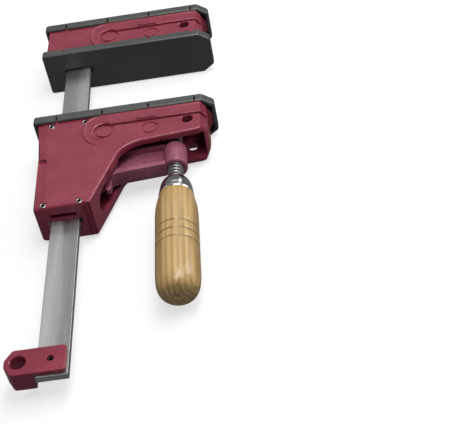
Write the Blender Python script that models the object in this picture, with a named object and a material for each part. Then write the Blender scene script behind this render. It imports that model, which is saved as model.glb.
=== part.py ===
# Parallel bar clamp lying on its side. All sizes are in metres.
# X runs from the bar's rear edge to the jaw tips, Y runs up the bar to the fixed jaw, and Z is up,
# across the width of the jaws. Depths are measured down the bar from a jaw's upper pad face.

import math

import bmesh
import bpy

# Driving sizes
bar_width = 0.025
bar_thickness = 0.006
bar_reach = 0.396
jaw_length = 0.170
jaw_overhang = 0.021
jaw_width = 0.046
fixed_depth = 0.058
opening = 0.098
spindle_inset = 0.0397
seat_gap = 0.0003
overrun = 0.002
merge_distance = 1e-7

# Jaw pads
pad_plate = 0.004
pad_lip = 0.0105
lip_wall = 0.0027
tip_chamfer = 0.011
tip_chamfer_side = 0.008
pad_corner = 0.003
pad_edge = 0.0008
notch_width = 0.0018
notch_first_share = 0.133
notch_step_share = 0.2545
notch_count = 4
pad_slot_gap = 0.0012

# Castings of both jaws
side_wall = 0.004
deck = 0.005
end_wall = 0.004
flange_depth = 0.0093
waist_depth = 0.012
flange_inset = 0.003
waist_inset = 0.0017
tip_inset = 0.0075
casting_chamfer = 0.006
casting_chamfer_side = 0.009
cross_hole_radius = 0.005
cross_hole_inset = 0.0178
cross_hole_depth = 0.0315

# Raised relief on the flanks of both castings
relief_height = 0.0018
relief_start = 0.0108
relief_drop = 0.0252
ring_offset = 0.022
ring_inner = 0.0104
ring_outer = 0.0190
ring_corner = 0.0125
ring_rise_share = 0.83
boss_radius = 0.0072
boss_height = 0.0007
small_boss_offset = 0.0645
small_boss_radius = 0.0065
small_boss_depth = 0.037

# Fixed jaw
socket_end = 0.012
socket_wall = 0.008
socket_side = 0.005
rib = 0.003
rib_count = 2
jaw_pin_radius = 0.0025
jaw_pin_inset = 0.0065
jaw_pin_height = 0.0079
window_rear = 0.003
window_front = 0.001
window_side = 0.0013

# Moving jaw housing
housing_depth = 0.1275
housing_foot = 0.0372
housing_rear = 0.0123
rear_knee = 0.0007
rear_knee_depth = 0.057
slope_top = 0.0645
slope_top_depth = 0.0547
tip_depth = 0.0478
throat_radius = 0.028
tip_radius = 0.009
foot_radius = 0.003
rear_wall = 0.004
foot_wall = 0.006
web_wall = 0.004
leg_gap = 0.0024
guide_slot_gap = 0.0005
foot_slot = 0.003
foot_slot_offset = 0.004
foot_slot_inset = 0.001
guide_pin_radius = 0.003
guide_pin_top = 0.0142
guide_pin_foot = 0.004
hatch_depth = 0.114
rear_slope_top = 0.0085
rear_slope_foot = 0.0108
rear_slope_drop = 0.0012
grip_top = 0.0615
grip_length = 0.0435
grip_width = 0.0084
grip_cut = 0.0018
groove_radius = 0.0011
groove_inset = 0.0014
groove_step = 0.0032
groove_count = 2
hub_radius = 0.011
hub_length = 0.0117
hub_floor = 0.0027
thrust_radius = 0.0056
thrust_thickness = 0.002
clip_thickness = 0.002
clip_half_width = 0.008
clip_lead = 0.0016

# Sliding arm
yoke_top = 0.034
yoke_bottom = 0.090
yoke_rear = 0.0075
yoke_front = 0.013
yoke_side_gap = 0.005
arm_slot_gap = 0.0004
arm_root = 0.031
arm_top = 0.047
arm_bottom_root = 0.080
arm_bottom_tip = 0.0765
arm_flange_half = 0.0075
arm_web_half = 0.002
arm_flange = 0.005
nut_radius = 0.011
nut_top = 0.038
nut_bottom = 0.0765
nut_edge = 0.0015
lug_half = 0.0035
lug_width = 0.0085
lug_depth = 0.096
lock_pin_radius = 0.0025
lock_pin_inset = 0.0045
spring_width = 0.009
spring_length = 0.028
spring_leaf = 0.0006
spring_pocket = 0.0022
hatch_gap = 0.001

# Spindle, ferrule and handle
thread_radius = 0.0070
thread_start = 0.026
thread_end = 0.096
core_radius = 0.0066
tip_journal = 0.005
tip_neck = 0.0034
tang_radius = 0.005
tang_end = 0.186
ferrule_top = 0.0955
ferrule_length = 0.020
ferrule_radius = 0.0156
ferrule_wall = 0.0012
handle_radius = 0.0187
handle_length = 0.1165
burn_depth = 0.0006
burn_width = 0.0016
burn_middle_share = 0.50
burn_step = 0.0098
burn_count = 3

# End stop
stop_reach = 0.0246
stop_height = 0.025
stop_plate = 0.0037
stop_below = 0.0085
stop_short = 0.0008
stop_end_gap = 0.0015
stop_corner = 0.0025
stop_chamfer = 0.0058
stop_chamfer_height = 0.0092
stop_hole_radius = 0.00625
stop_hole_inset = 0.0109
stop_pin_radius = 0.0025
stop_pin_inset = 0.0133
stop_pin_sink = 0.0012
pin_wall_share = 0.42
pin_slit_share = 0.32

# Sizes that follow from those above
lip_inner = jaw_width / 2 - lip_wall
casting_half = lip_inner - seat_gap
cavity_half = casting_half - side_wall
tip_x = jaw_length - jaw_overhang
casting_tip = tip_x - tip_inset
seat_depth = pad_plate + seat_gap
deck_depth = seat_depth + deck
spindle_x = tip_x - spindle_inset
ring_x = bar_width + ring_offset
ring_depth = relief_drop + ring_inner * ring_rise_share
hole_x = casting_tip - cross_hole_inset
hub_depth = deck_depth + hub_length
pin_reach = casting_half - seat_gap
guide_rear_x = -seat_gap - guide_pin_radius
guide_front_x = bar_width + seat_gap + guide_pin_radius
guide_foot_depth = housing_depth - guide_pin_foot
yoke_half = cavity_half - yoke_side_gap
hatch_half = yoke_half + hatch_gap
arm_root_x = bar_width + arm_root
round_steps = 40
corner_steps = 5


# Materials: colour, roughness and metallic value of each finish
def finish(name, colour, roughness, metallic):
    material = bpy.data.materials.new(name)
    material.use_nodes = True
    shader = material.node_tree.nodes["Principled BSDF"]
    shader.inputs["Base Color"].default_value = (*colour, 1)
    shader.inputs["Roughness"].default_value = roughness
    shader.inputs["Metallic"].default_value = metallic
    material.diffuse_color = (*colour, 1)
    return material


# An empty that carries pieces: a jaw face or a joint's axis
def carrier(name, parent, place):
    empty = bpy.data.objects.new(name, None)
    bpy.context.collection.objects.link(empty)
    empty.parent = parent
    empty.location = place
    return empty


# Turn a bmesh into a named object on its carrier
def solid(name, mesh_data, parent, material=None):
    bmesh.ops.remove_doubles(mesh_data, verts=mesh_data.verts, dist=merge_distance)
    bmesh.ops.recalc_face_normals(mesh_data, faces=mesh_data.faces)
    mesh = bpy.data.meshes.new(name)
    mesh_data.to_mesh(mesh)
    mesh_data.free()
    mesh.shade_smooth()
    mesh.set_sharp_from_angle(angle=math.radians(35))
    piece = bpy.data.objects.new(name, mesh)
    bpy.context.collection.objects.link(piece)
    piece.parent = parent
    if material:
        mesh.materials.append(material)
    return piece


# Replace each corner (x, y, radius) of an outline by an arc of that radius
def rounded(corners):
    points = []
    for i, (x, y, radius) in enumerate(corners):
        ax, ay = corners[i - 1][:2]
        bx, by = corners[(i + 1) % len(corners)][:2]
        if radius == 0:
            points.append((x, y))
            continue
        a_angle = math.atan2(ay - y, ax - x)
        b_angle = math.atan2(by - y, bx - x)
        turn = (b_angle - a_angle + math.pi) % (2 * math.pi) - math.pi
        reach = radius / math.tan(abs(turn) / 2)
        middle = a_angle + turn / 2
        away = radius / math.sin(abs(turn) / 2)
        centre = (x + away * math.cos(middle), y + away * math.sin(middle))
        first = (x + reach * math.cos(a_angle), y + reach * math.sin(a_angle))
        start = math.atan2(first[1] - centre[1], first[0] - centre[0])
        sweep = math.copysign(math.pi - abs(turn), -turn)
        for step in range(corner_steps + 1):
            angle = start + sweep * step / corner_steps
            points.append((centre[0] + radius * math.cos(angle), centre[1] + radius * math.sin(angle)))
    return points


# Extrude an outline. Along Z its points are (x, y), along Y (x, z) and along X (y, z)
def prism_data(points, low, high, axis="Z", mesh_data=None):
    mesh_data = mesh_data or bmesh.new()
    place = {"Z": lambda a, b: (a, b, low),
             "Y": lambda a, b: (a, low, b),
             "X": lambda a, b: (low, a, b)}[axis]
    shift = {"Z": (0, 0, high - low), "Y": (0, high - low, 0), "X": (high - low, 0, 0)}[axis]
    base = mesh_data.faces.new([mesh_data.verts.new(place(*point)) for point in points])
    grown = bmesh.ops.extrude_face_region(mesh_data, geom=[base], use_keep_orig=True)
    raised = [part for part in grown["geom"] if isinstance(part, bmesh.types.BMVert)]
    bmesh.ops.translate(mesh_data, verts=raised, vec=shift)
    return mesh_data


def prism(name, points, low, high, parent, material=None, axis="Z"):
    return solid(name, prism_data(points, low, high, axis), parent, material)


def box_points(left, right, low, high):
    return [(left, low), (right, low), (right, high), (left, high)]


# Spin a profile of (radius, depth) points round the Y axis
def turned(name, profile, parent, material=None, closed=False):
    mesh_data = bmesh.new()
    ring = [mesh_data.verts.new((radius, -depth, 0)) for radius, depth in profile]
    pairs = list(zip(ring, ring[1:])) + ([(ring[-1], ring[0])] if closed else [])
    edges = [mesh_data.edges.new(pair) for pair in pairs]
    bmesh.ops.spin(mesh_data, geom=ring + edges, cent=(0, 0, 0), axis=(0, 1, 0),
                   angle=2 * math.pi, steps=round_steps, use_merge=True)
    return solid(name, mesh_data, parent, material)


def circle_points(x, y, radius, steps=round_steps):
    turns = [2 * math.pi * step / steps for step in range(steps)]
    return [(x + radius * math.cos(turn), y + radius * math.sin(turn)) for turn in turns]


def hide_tool(tool):
    tool.display_type = "WIRE"
    tool.hide_render = True


def combine(piece, tool, operation):
    hide_tool(tool)
    step = piece.modifiers.new(tool.name, "BOOLEAN")
    step.operation = operation
    step.solver = "EXACT"
    step.object = tool


def cut(piece, tool):
    combine(piece, tool, "DIFFERENCE")


def fuse(piece, tool):
    combine(piece, tool, "UNION")


def soften(piece, width, segments=1, angle=40):
    step = piece.modifiers.new("edges", "BEVEL")
    step.width = width
    step.segments = segments
    step.limit_method = "ANGLE"
    step.angle_limit = math.radians(angle)


# A slotted spring pin along Z: a tube with a slit down its side
def roll_pin(name, x, y, low, high, radius, parent, slit_turn=0.0):
    bore = radius * (1 - pin_wall_share)
    half_slit = pin_slit_share / 2
    steps = round_steps // 2
    outer = []
    inner = []
    for step in range(steps + 1):
        angle = slit_turn + half_slit + (2 * math.pi - 2 * half_slit) * step / steps
        outer.append((x + radius * math.cos(angle), y + radius * math.sin(angle)))
        inner.append((x + bore * math.cos(angle), y + bore * math.sin(angle)))
    return prism(name, outer + inner[::-1], low, high, parent, pin_steel)


# The outline of a pad seen along the bar, drawn in by an inset
def pad_outline(inset):
    half = jaw_width / 2 - inset
    rear = -jaw_overhang + inset
    tip = tip_x - inset
    slant = math.hypot(tip_chamfer, tip_chamfer_side)
    along = tip_chamfer + inset * (slant - tip_chamfer_side - tip_chamfer) / tip_chamfer_side
    across = tip_chamfer_side + inset * (slant - tip_chamfer_side - tip_chamfer) / tip_chamfer
    radius = max(pad_corner - inset, seat_gap)
    return rounded([(rear, -half, radius), (tip - along, -half, 0), (tip, -half + across, 0),
                    (tip, half - across, 0), (tip - along, half, 0), (rear, half, radius)])


# A pad is a plate with a lip all round that grips the casting, notched along its long sides
def jaw_pad(name, parent, slot):
    pad = prism(name, pad_outline(0), -pad_lip, 0, parent, pad_plastic, axis="Y")
    soften(pad, pad_edge, segments=2)
    cut(pad, prism(name + "_hollow", pad_outline(lip_wall), -pad_lip - overrun, -pad_plate, parent, axis="Y"))
    notches = bmesh.new()
    for side in (-1, 1):
        for number in range(notch_count):
            middle = -jaw_overhang + jaw_length * (notch_first_share + notch_step_share * number)
            inner = side * (lip_inner - overrun)
            outer = side * (jaw_width / 2 + overrun)
            points = box_points(middle - notch_width / 2, middle + notch_width / 2, inner, outer)
            prism_data(points, -pad_lip - overrun, -pad_plate + seat_gap, "Y", notches)
    cut(pad, prism(name + "_slot", slot, -pad_plate - overrun, overrun, parent, axis="Y"))
    cut(pad, solid(name + "_notches", notches, parent))
    return pad


# A cutter that slopes both flanks of a casting at its tip
def tip_wedges(name, parent, depth):
    wedges = bmesh.new()
    beyond = tip_x + overrun
    run = beyond - casting_tip + casting_chamfer
    drop = run * casting_chamfer_side / casting_chamfer
    for side in (-1, 1):
        profile = [(beyond - run, side * casting_half), (beyond, side * (casting_half - drop)),
                   (beyond, side * (casting_half + drop)), (beyond - run, side * (casting_half + overrun))]
        prism_data(profile, -depth - overrun, overrun, "Y", wedges)
    return solid(name, wedges, parent)


# The raised band below the upper pad, which curls round a boss and stops at a depth limit
def relief_outline(limit):
    left = ring_x - ring_outer
    top = math.asin(ring_rise_share) - math.pi
    points = [(casting_tip - casting_chamfer, relief_start), (left + ring_corner, relief_start)]
    for step in range(corner_steps + 1):
        angle = math.pi / 2 * step / corner_steps
        across = ring_corner * (1 - math.sin(angle))
        down = ring_corner * (1 - math.cos(angle))
        points.append((left + across, relief_start + down))
    steps = round_steps // 4
    for radius, order in ((ring_outer, 1), (ring_inner, -1)):
        share = min(1, (limit - ring_depth) / radius)
        low = 0 if order == 1 else top
        arc = []
        for step in range(steps + 1):
            angle = low + (math.asin(share) - low) * step / steps
            arc.append((ring_x - radius * math.cos(angle), ring_depth + radius * math.sin(angle)))
        points += arc[::order]
    points.append((casting_tip - casting_chamfer, relief_drop))
    return [(x, -depth) for x, depth in dict.fromkeys(points)]


# The band's end follows the slope of the flank at the tip
def band_data(side, limit):
    low = side * (casting_half - side_wall / 8)
    high = side * (casting_half + relief_height)
    band = prism_data(relief_outline(limit), low, high)
    bend = casting_tip - casting_chamfer
    mitre = (math.hypot(casting_chamfer, casting_chamfer_side) - casting_chamfer) / casting_chamfer_side
    end = next(face for face in band.faces if all(vert.co.x > bend - seat_gap for vert in face.verts))
    for vert in end.verts:
        vert.co.x += (abs(vert.co.z) - casting_half) * mitre
    reach = casting_chamfer - relief_height * mitre - seat_gap
    grown = bmesh.ops.extrude_face_region(band, geom=[end])
    bmesh.ops.delete(band, geom=[end], context="FACES_ONLY")
    moved = [part for part in grown["geom"] if isinstance(part, bmesh.types.BMVert)]
    drop = reach * casting_chamfer_side / casting_chamfer
    bmesh.ops.translate(band, verts=moved, vec=(reach, 0, -side * drop))
    return band


def add_relief(casting, parent, limit):
    for side, word in ((-1, "lower"), (1, "upper")):
        name = casting.name + "_" + word
        fuse(casting, solid(name + "_band", band_data(side, limit), parent))
        bosses = bmesh.new()
        low = side * (casting_half - side_wall / 2)
        level = side * (casting_half + boss_height)
        prism_data(circle_points(ring_x, -ring_depth, boss_radius), low, level, "Z", bosses)
        small = circle_points(bar_width + small_boss_offset, -small_boss_depth, small_boss_radius)
        prism_data(small, low, level, "Z", bosses)
        fuse(casting, solid(name + "_bosses", bosses, parent))


# The seat for a pad's lip at one end of a casting's side outline, from the tip round to the rear
def flange_points():
    rear = -jaw_overhang + flange_inset
    tip = tip_x - flange_inset
    return [(casting_tip, waist_depth), (tip, flange_depth), (tip, seat_depth),
            (rear, seat_depth), (rear, flange_depth), (rear + waist_inset, waist_depth)]


def cross_hole(name, parent):
    points = circle_points(hole_x, -cross_hole_depth, cross_hole_radius, round_steps // 2)
    return prism(name, points, -casting_half - overrun, casting_half + overrun, parent)


# Bar with its holes for the jaw pins and the stop pin
def make_bar(parent):
    half = bar_thickness / 2
    outline = box_points(0, bar_width, -bar_reach, fixed_depth - socket_end)
    bar = prism("bar", outline, -half, half, parent, bar_steel)
    soften(bar, seat_gap)
    places = [(x, jaw_pin_height, jaw_pin_radius) for x in jaw_pin_places()]
    places.append((*stop_pin_place(), stop_pin_radius))
    holes = bmesh.new()
    for x, y, radius in places:
        points = circle_points(x, y, radius + seat_gap, round_steps // 2)
        prism_data(points, -half - overrun, half + overrun, "Z", holes)
    cut(bar, solid("bar_holes", holes, parent))


def jaw_pin_places():
    return (jaw_pin_inset, bar_width - jaw_pin_inset)


def stop_pin_place():
    return (bar_width - stop_pin_inset, -bar_reach + stop_end_gap + stop_height / 2)


# Fixed jaw: an open-backed casting with a blind socket for the bar, ribs and a cross hole
def make_fixed_jaw(face, clamp):
    upper = flange_points()
    lower = [(x, fixed_depth - depth) for x, depth in upper[::-1]]
    outline = [(x, -depth) for x, depth in upper + lower]
    jaw = prism("fixed_jaw", outline, -casting_half, casting_half, face, casting_paint)
    cut(jaw, tip_wedges("fixed_jaw_tip", face, fixed_depth))
    add_relief(jaw, face, fixed_depth - relief_start)
    pockets = bmesh.new()
    floor = -(fixed_depth - seat_depth - deck)
    left = bar_width + socket_wall
    right = casting_tip - end_wall
    bay = (right - left - rib * rib_count) / (rib_count + 1)
    for number in range(rib_count + 1):
        start = left + (bay + rib) * number
        prism_data(box_points(start, start + bay, floor, overrun), -cavity_half, cavity_half, "Z", pockets)
    for side in (-1, 1):
        inner = side * (bar_thickness / 2 + socket_side)
        points = box_points(-jaw_overhang + flange_inset + waist_inset + end_wall, left - rib, floor, overrun)
        prism_data(points, inner, side * cavity_half, "Z", pockets)
    cut(jaw, solid("fixed_jaw_pockets", pockets, face))
    socket = box_points(-seat_gap, bar_width + seat_gap, -fixed_depth - overrun, -socket_end + seat_gap)
    half = bar_thickness / 2 + seat_gap
    cut(jaw, prism("fixed_jaw_socket", socket, -half, half, face))
    holes = bmesh.new()
    for x in jaw_pin_places():
        points = circle_points(x, jaw_pin_height - fixed_depth, jaw_pin_radius + seat_gap, round_steps // 2)
        prism_data(points, -casting_half - overrun, casting_half + overrun, "Z", holes)
    cut(jaw, solid("fixed_jaw_pin_holes", holes, face))
    cut(jaw, cross_hole("fixed_jaw_cross_hole", face))
    for x, word in zip(jaw_pin_places(), ("rear", "front")):
        roll_pin("jaw_pin_" + word, x, jaw_pin_height, -pin_reach, pin_reach, jaw_pin_radius, clamp)


# Pads of the fixed jaw: one on its clamping face with the bar's slot, one on its back with a window
def make_fixed_pads(face, clamp):
    half = bar_thickness / 2 + pad_slot_gap
    slot = box_points(-pad_slot_gap, bar_width + pad_slot_gap, -half, half)
    pad = jaw_pad("fixed_clamp_pad", carrier("fixed_clamp_face", clamp, (0, 0, 0)), slot)
    pad.parent.rotation_euler = (math.pi, 0, 0)
    side = bar_thickness / 2 + window_side
    jaw_pad("fixed_back_pad", face, box_points(-window_rear, bar_width + window_front, -side, side))


# The side outline of the moving housing, from its tip round by the rear to the foot and the throat
def housing_outline():
    rear_top = -jaw_overhang + flange_inset + waist_inset
    corners = [(x, -depth, 0) for x, depth in flange_points()]
    corners += [(-housing_rear - rear_knee, -rear_knee_depth, 0),
                (-housing_rear, -housing_depth, foot_radius),
                (housing_foot, -housing_depth, foot_radius),
                (slope_top, -slope_top_depth, throat_radius),
                (casting_tip, -tip_depth, tip_radius)]
    return rounded(corners)


def slope_x(depth):
    run = (slope_top - housing_foot) / (housing_depth - slope_top_depth)
    return housing_foot + (housing_depth - depth) * run


# The hollow of the housing, open below between the sloped web and the tip
def housing_cavity():
    floor = housing_depth - foot_wall
    mouth = slope_top_depth + throat_radius / 2
    return [(-housing_rear + rear_wall, -deck_depth), (-housing_rear + rear_wall, -floor),
            (slope_x(floor) - web_wall, -floor), (slope_x(mouth) - web_wall, -mouth),
            (slope_x(mouth) + overrun, -mouth), (slope_x(mouth) + overrun, -housing_depth),
            (casting_tip - end_wall, -housing_depth), (casting_tip - end_wall, -deck_depth)]


def make_housing(face):
    housing = prism("jaw_housing", housing_outline(), -casting_half, casting_half, face, casting_paint)
    cut(housing, prism("housing_cavity", housing_cavity(), -cavity_half, cavity_half, face))
    half = bar_thickness / 2 + guide_slot_gap
    slot = bmesh.new()
    bar_gap = box_points(-leg_gap, bar_width + leg_gap, -half, half)
    prism_data(bar_gap, -deck_depth - overrun, 0, "Y", slot)
    prism_data(bar_gap, -housing_depth - overrun, -housing_depth + foot_wall + overrun, "Y", slot)
    for side in (-1, 1):
        inner = side * (bar_thickness / 2 + foot_slot_offset)
        outer = inner + side * foot_slot
        points = box_points(foot_slot_inset, bar_width - foot_slot_inset, inner, outer)
        prism_data(points, -housing_depth - overrun, -housing_depth + foot_wall + overrun, "Y", slot)
    cut(housing, solid("housing_bar_slots", slot, face))
    cut(housing, prism("housing_hatch", hatch_points(), slope_x(hatch_depth) - web_wall - overrun,
                       slope_top + overrun, face, axis="X"))
    cut(housing, tip_wedges("housing_tip", face, tip_depth))
    cut(housing, solid("housing_rear_slopes", rear_slope_data(), face))
    cut(housing, solid("housing_grips", grip_data(), face))
    grooves = bmesh.new()
    for number in range(groove_count):
        x = housing_foot - groove_inset - groove_step * number
        points = circle_points(x, -housing_depth, groove_radius, round_steps // 4)
        prism_data(points, -casting_half - overrun, casting_half + overrun, "Z", grooves)
    cut(housing, solid("housing_foot_grooves", grooves, face))
    add_relief(housing, face, housing_depth)
    holes = bmesh.new()
    for x, y in guide_pin_places().values():
        points = circle_points(x, y, guide_pin_radius + seat_gap, round_steps // 2)
        prism_data(points, -casting_half - overrun, casting_half + overrun, "Z", holes)
    cut(housing, solid("housing_pin_holes", holes, face))
    cut(housing, cross_hole("housing_cross_hole", face))
    fuse(housing, make_hub())


# The hub under the deck: a blind bore for the spindle's tip, slotted from the side for its clip
def make_hub():
    bore = thrust_radius + seat_gap
    hub = turned("housing_hub", [(0, deck_depth - deck / 2), (hub_radius, deck_depth - deck / 2),
                                 (hub_radius, hub_depth), (bore, hub_depth), (bore, deck_depth + hub_floor),
                                 (0, deck_depth + hub_floor)], spindle_axis)
    low = clip_depth() - seat_gap
    high = clip_depth() + clip_thickness + seat_gap
    side = clip_half_width + seat_gap
    slot = box_points(-side, hub_radius + overrun, -high, -low)
    cut(hub, prism("housing_clip_slot", slot, -side, side, spindle_axis))
    return hub


# A U-shaped hatch in the sloped web, through which the arm passes
def hatch_points():
    mouth = slope_top_depth + throat_radius / 4
    points = [(-mouth, -hatch_half), (-mouth, hatch_half)]
    for step in range(round_steps // 2 + 1):
        angle = math.pi * step / (round_steps // 2)
        drop = hatch_half * (1 - math.sin(angle))
        points.append((-hatch_depth + drop, hatch_half * math.cos(angle)))
    return points


# Both flanks fall away to the rear, from a line that slants down the jaw
def rear_slope_data():
    slopes = bmesh.new()
    top = -jaw_overhang + flange_inset + waist_inset + rear_slope_top
    foot = -housing_rear + rear_slope_foot
    width = rear_slope_foot + overrun
    low = -housing_depth - overrun
    for side in (-1, 1):
        level = side * casting_half
        points = [(top, -waist_depth), (foot, low), (foot - width, low), (top - width, -waist_depth)]
        prism_data(points, level, level + side * overrun, "Z", slopes)
    for vert in slopes.verts:
        line = top + (foot - top) * (vert.co.y + waist_depth) / (low + waist_depth)
        if abs(vert.co.z) < casting_half + seat_gap and vert.co.x < line - width / 2:
            vert.co.z -= math.copysign(rear_slope_drop, vert.co.z)
    return slopes


# Finger grips: shallow scoops along both rear corners
def grip_data():
    grips = bmesh.new()
    right = -housing_rear + grip_width
    left = -housing_rear - rear_knee - overrun
    radius = grip_width / 2
    corners = [(left, -grip_top, 0), (left, -grip_top - grip_length, 0),
               (right, -grip_top - grip_length, radius), (right, -grip_top, radius)]
    for side in (-1, 1):
        low = side * (casting_half - grip_cut)
        prism_data(rounded(corners), low, side * (casting_half + overrun), "Z", grips)
    return grips


def guide_pin_places():
    return {"guide_pin_upper_rear": (guide_rear_x, -guide_pin_top),
            "guide_pin_upper_front": (guide_front_x, -guide_pin_top),
            "guide_pin_lower_rear": (guide_rear_x, -guide_foot_depth),
            "guide_pin_lower_front": (guide_front_x, -guide_foot_depth)}


def clip_depth():
    return deck_depth + hub_floor + thrust_thickness + 2 * seat_gap + clip_lead


# Loose pieces carried by the housing: pad, guide pins, thrust disc and the clip that holds the spindle
def make_jaw_fittings(face):
    half = bar_thickness / 2 + pad_slot_gap
    jaw_pad("moving_clamp_pad", face, box_points(-pad_slot_gap, bar_width + pad_slot_gap, -half, half))
    for name, (x, y) in guide_pin_places().items():
        roll_pin(name, x, y, -pin_reach, pin_reach, guide_pin_radius, face, slit_turn=math.pi / 2)
    seat = deck_depth + hub_floor + seat_gap
    turned("thrust_disc", [(0, seat), (thrust_radius, seat), (thrust_radius, seat + thrust_thickness),
                           (0, seat + thrust_thickness)], spindle_axis, pin_steel)
    prism("spindle_clip", clip_points(), -clip_depth() - clip_thickness, -clip_depth(),
          spindle_axis, spring_steel, axis="Y")


# A horseshoe clip that enters the spindle's neck from the side
def clip_points():
    inner = tip_neck + seat_gap
    points = [(clip_half_width, clip_half_width), (-clip_half_width, clip_half_width),
              (-clip_half_width, -clip_half_width), (clip_half_width, -clip_half_width)]
    steps = round_steps // 4
    points.append((clip_half_width, -inner))
    for step in range(steps + 1):
        angle = -math.pi / 2 - math.pi * step / steps
        points.append((inner * math.cos(angle), inner * math.sin(angle)))
    points.append((clip_half_width, inner))
    return points


# Sliding arm: a yoke round the bar, an I-section beam and the threaded nut boss
def make_arm(face):
    yoke_x = bar_width + yoke_front
    yoke = rounded([(-yoke_rear, -yoke_top, foot_radius), (-yoke_rear, -yoke_bottom, foot_radius),
                    (yoke_x, -yoke_bottom, foot_radius), (yoke_x, -yoke_top, foot_radius)])
    arm = prism("sliding_arm", yoke, -yoke_half, yoke_half, face, arm_paint)
    half = bar_thickness / 2 + arm_slot_gap
    slot = box_points(-arm_slot_gap, bar_width + arm_slot_gap, -yoke_bottom - overrun, -yoke_top + overrun)
    cut(arm, prism("arm_bar_slot", slot, -half, half, face))
    middle = bar_width / 2
    side = spring_width / 2 + seat_gap
    end = spring_length / 2 + seat_gap
    pocket = box_points(middle - side, middle + side, -spring_middle() - end, -spring_middle() + end)
    cut(arm, prism("arm_spring_pocket", pocket, 0, half + spring_pocket, face))
    holes = bmesh.new()
    for x, y in lock_pin_places().values():
        points = circle_points(x, y, lock_pin_radius + seat_gap, round_steps // 2)
        prism_data(points, -yoke_half - overrun, yoke_half + overrun, "Z", holes)
    cut(arm, solid("arm_pin_holes", holes, face))
    fuse(arm, make_beam(face))
    lug = rounded([(arm_root_x - lug_width, -arm_bottom_root + overrun, 0),
                   (arm_root_x - lug_width, -lug_depth, lug_half), (arm_root_x, -lug_depth, lug_half),
                   (arm_root_x, -arm_bottom_root + overrun, 0)])
    fuse(arm, prism("arm_lug", lug, -lug_half, lug_half, face))
    bore = thread_radius + seat_gap
    nut = [(bore, nut_top), (nut_radius, nut_top), (nut_radius, nut_bottom - nut_edge),
           (nut_radius - nut_edge, nut_bottom), (bore, nut_bottom)]
    fuse(arm, turned("arm_nut", nut, spindle_axis, closed=True))
    for name, (x, y) in lock_pin_places().items():
        prism(name, circle_points(x, y, lock_pin_radius, round_steps // 2), -yoke_half + seat_gap,
              yoke_half - seat_gap, face, pin_steel)
    make_drag_spring(face)


# The I-section beam, ending where its flanges' corners meet the round of the nut boss
def make_beam(face):
    root = bar_width + (yoke_front + 2 * lock_pin_radius) / 2
    tip = spindle_x - math.sqrt(nut_radius ** 2 - arm_flange_half ** 2)
    outline = [(root, -yoke_top - overrun), (arm_root_x, -arm_top), (tip, -arm_top),
               (tip, -arm_bottom_tip), (arm_root_x, -arm_bottom_root), (root, -yoke_bottom + overrun)]
    beam = prism("arm_beam", outline, -arm_flange_half, arm_flange_half, face)
    pockets = bmesh.new()
    end = tip + overrun
    top = -arm_top - arm_flange
    corners = [(arm_root_x, top, overrun), (end, top, 0), (end, -arm_bottom_tip + arm_flange, 0),
               (arm_root_x, -arm_bottom_root + arm_flange, overrun)]
    for side in (-1, 1):
        prism_data(rounded(corners), side * arm_web_half, side * (arm_flange_half + overrun), "Z", pockets)
    cut(beam, solid("arm_pockets", pockets, face))
    return beam


def lock_pin_places():
    return {"lock_pin_front": (bar_width + seat_gap + lock_pin_radius, -yoke_top - lock_pin_inset),
            "lock_pin_rear": (-seat_gap - lock_pin_radius, -yoke_bottom + lock_pin_inset)}


def spring_middle():
    return (yoke_top + yoke_bottom) / 2


# A bowed leaf that drags on the bar's flat, so that the loose jaw stays where it is put
def make_drag_spring(face):
    low = bar_thickness / 2 + seat_gap
    high = bar_thickness / 2 + arm_slot_gap + spring_pocket - seat_gap - spring_leaf
    steps = round_steps // 4
    under = []
    over = []
    for step in range(steps + 1):
        share = 2 * step / steps - 1
        depth = spring_middle() + share * spring_length / 2
        height = low + (high - low) * share * share
        under.append((-depth, height))
        over.append((-depth, height + spring_leaf))
    middle = bar_width / 2
    prism("drag_spring", under + over[::-1], middle - spring_width / 2, middle + spring_width / 2,
          face, spring_steel, axis="X")


# Spindle with its captive tip, threaded length and the tang that the handle is pressed on
def make_spindle():
    tip = deck_depth + hub_floor + thrust_thickness + 2 * seat_gap
    neck = clip_depth() - seat_gap
    neck_end = clip_depth() + clip_thickness + seat_gap
    collar_end = ferrule_top + ferrule_wall + seat_gap
    lead_in = core_radius - tip_journal
    profile = [(0, tip), (tip_journal, tip), (tip_journal, neck), (tip_neck, neck), (tip_neck, neck_end),
               (tip_journal, neck_end), (tip_journal, thread_start - lead_in), (core_radius, thread_start),
               (core_radius, thread_end - lead_in), (thread_radius, thread_end - lead_in),
               (thread_radius, collar_end), (tang_radius, collar_end), (tang_radius, tang_end), (0, tang_end)]
    turned("spindle", profile, spindle_axis, thread_steel)


# Shares of the ferrule's length and radius along its bell
ferrule_shares = ((0.0, 0.60), (0.10, 0.74), (0.25, 0.86), (0.45, 0.93), (0.80, 0.975),
                  (0.90, 1.0), (1.0, 1.0))


def make_ferrule():
    hole = thread_radius + seat_gap
    under = ferrule_top + ferrule_wall
    outer = [(ferrule_radius * width, ferrule_top + ferrule_length * along)
             for along, width in ferrule_shares]
    inner = [(radius - ferrule_wall, max(depth, under)) for radius, depth in outer]
    profile = [(hole, ferrule_top)] + outer + inner[::-1] + [(hole, under)]
    turned("ferrule", profile, spindle_axis, bright_steel, closed=True)


# Shares of the handle's visible length and largest radius along its turned outline
handle_shares = ((0.0, 0.84), (0.05, 0.89), (0.10, 0.955), (0.15, 0.99), (0.25, 1.0), (0.75, 1.0),
                 (0.87, 0.985), (0.93, 0.93), (0.97, 0.82), (0.99, 0.62), (1.0, 0.30))
nose_shares = ((0.21, 0.52), (0.35, 0.68), (0.55, 0.80), (0.80, 0.86))


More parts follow.
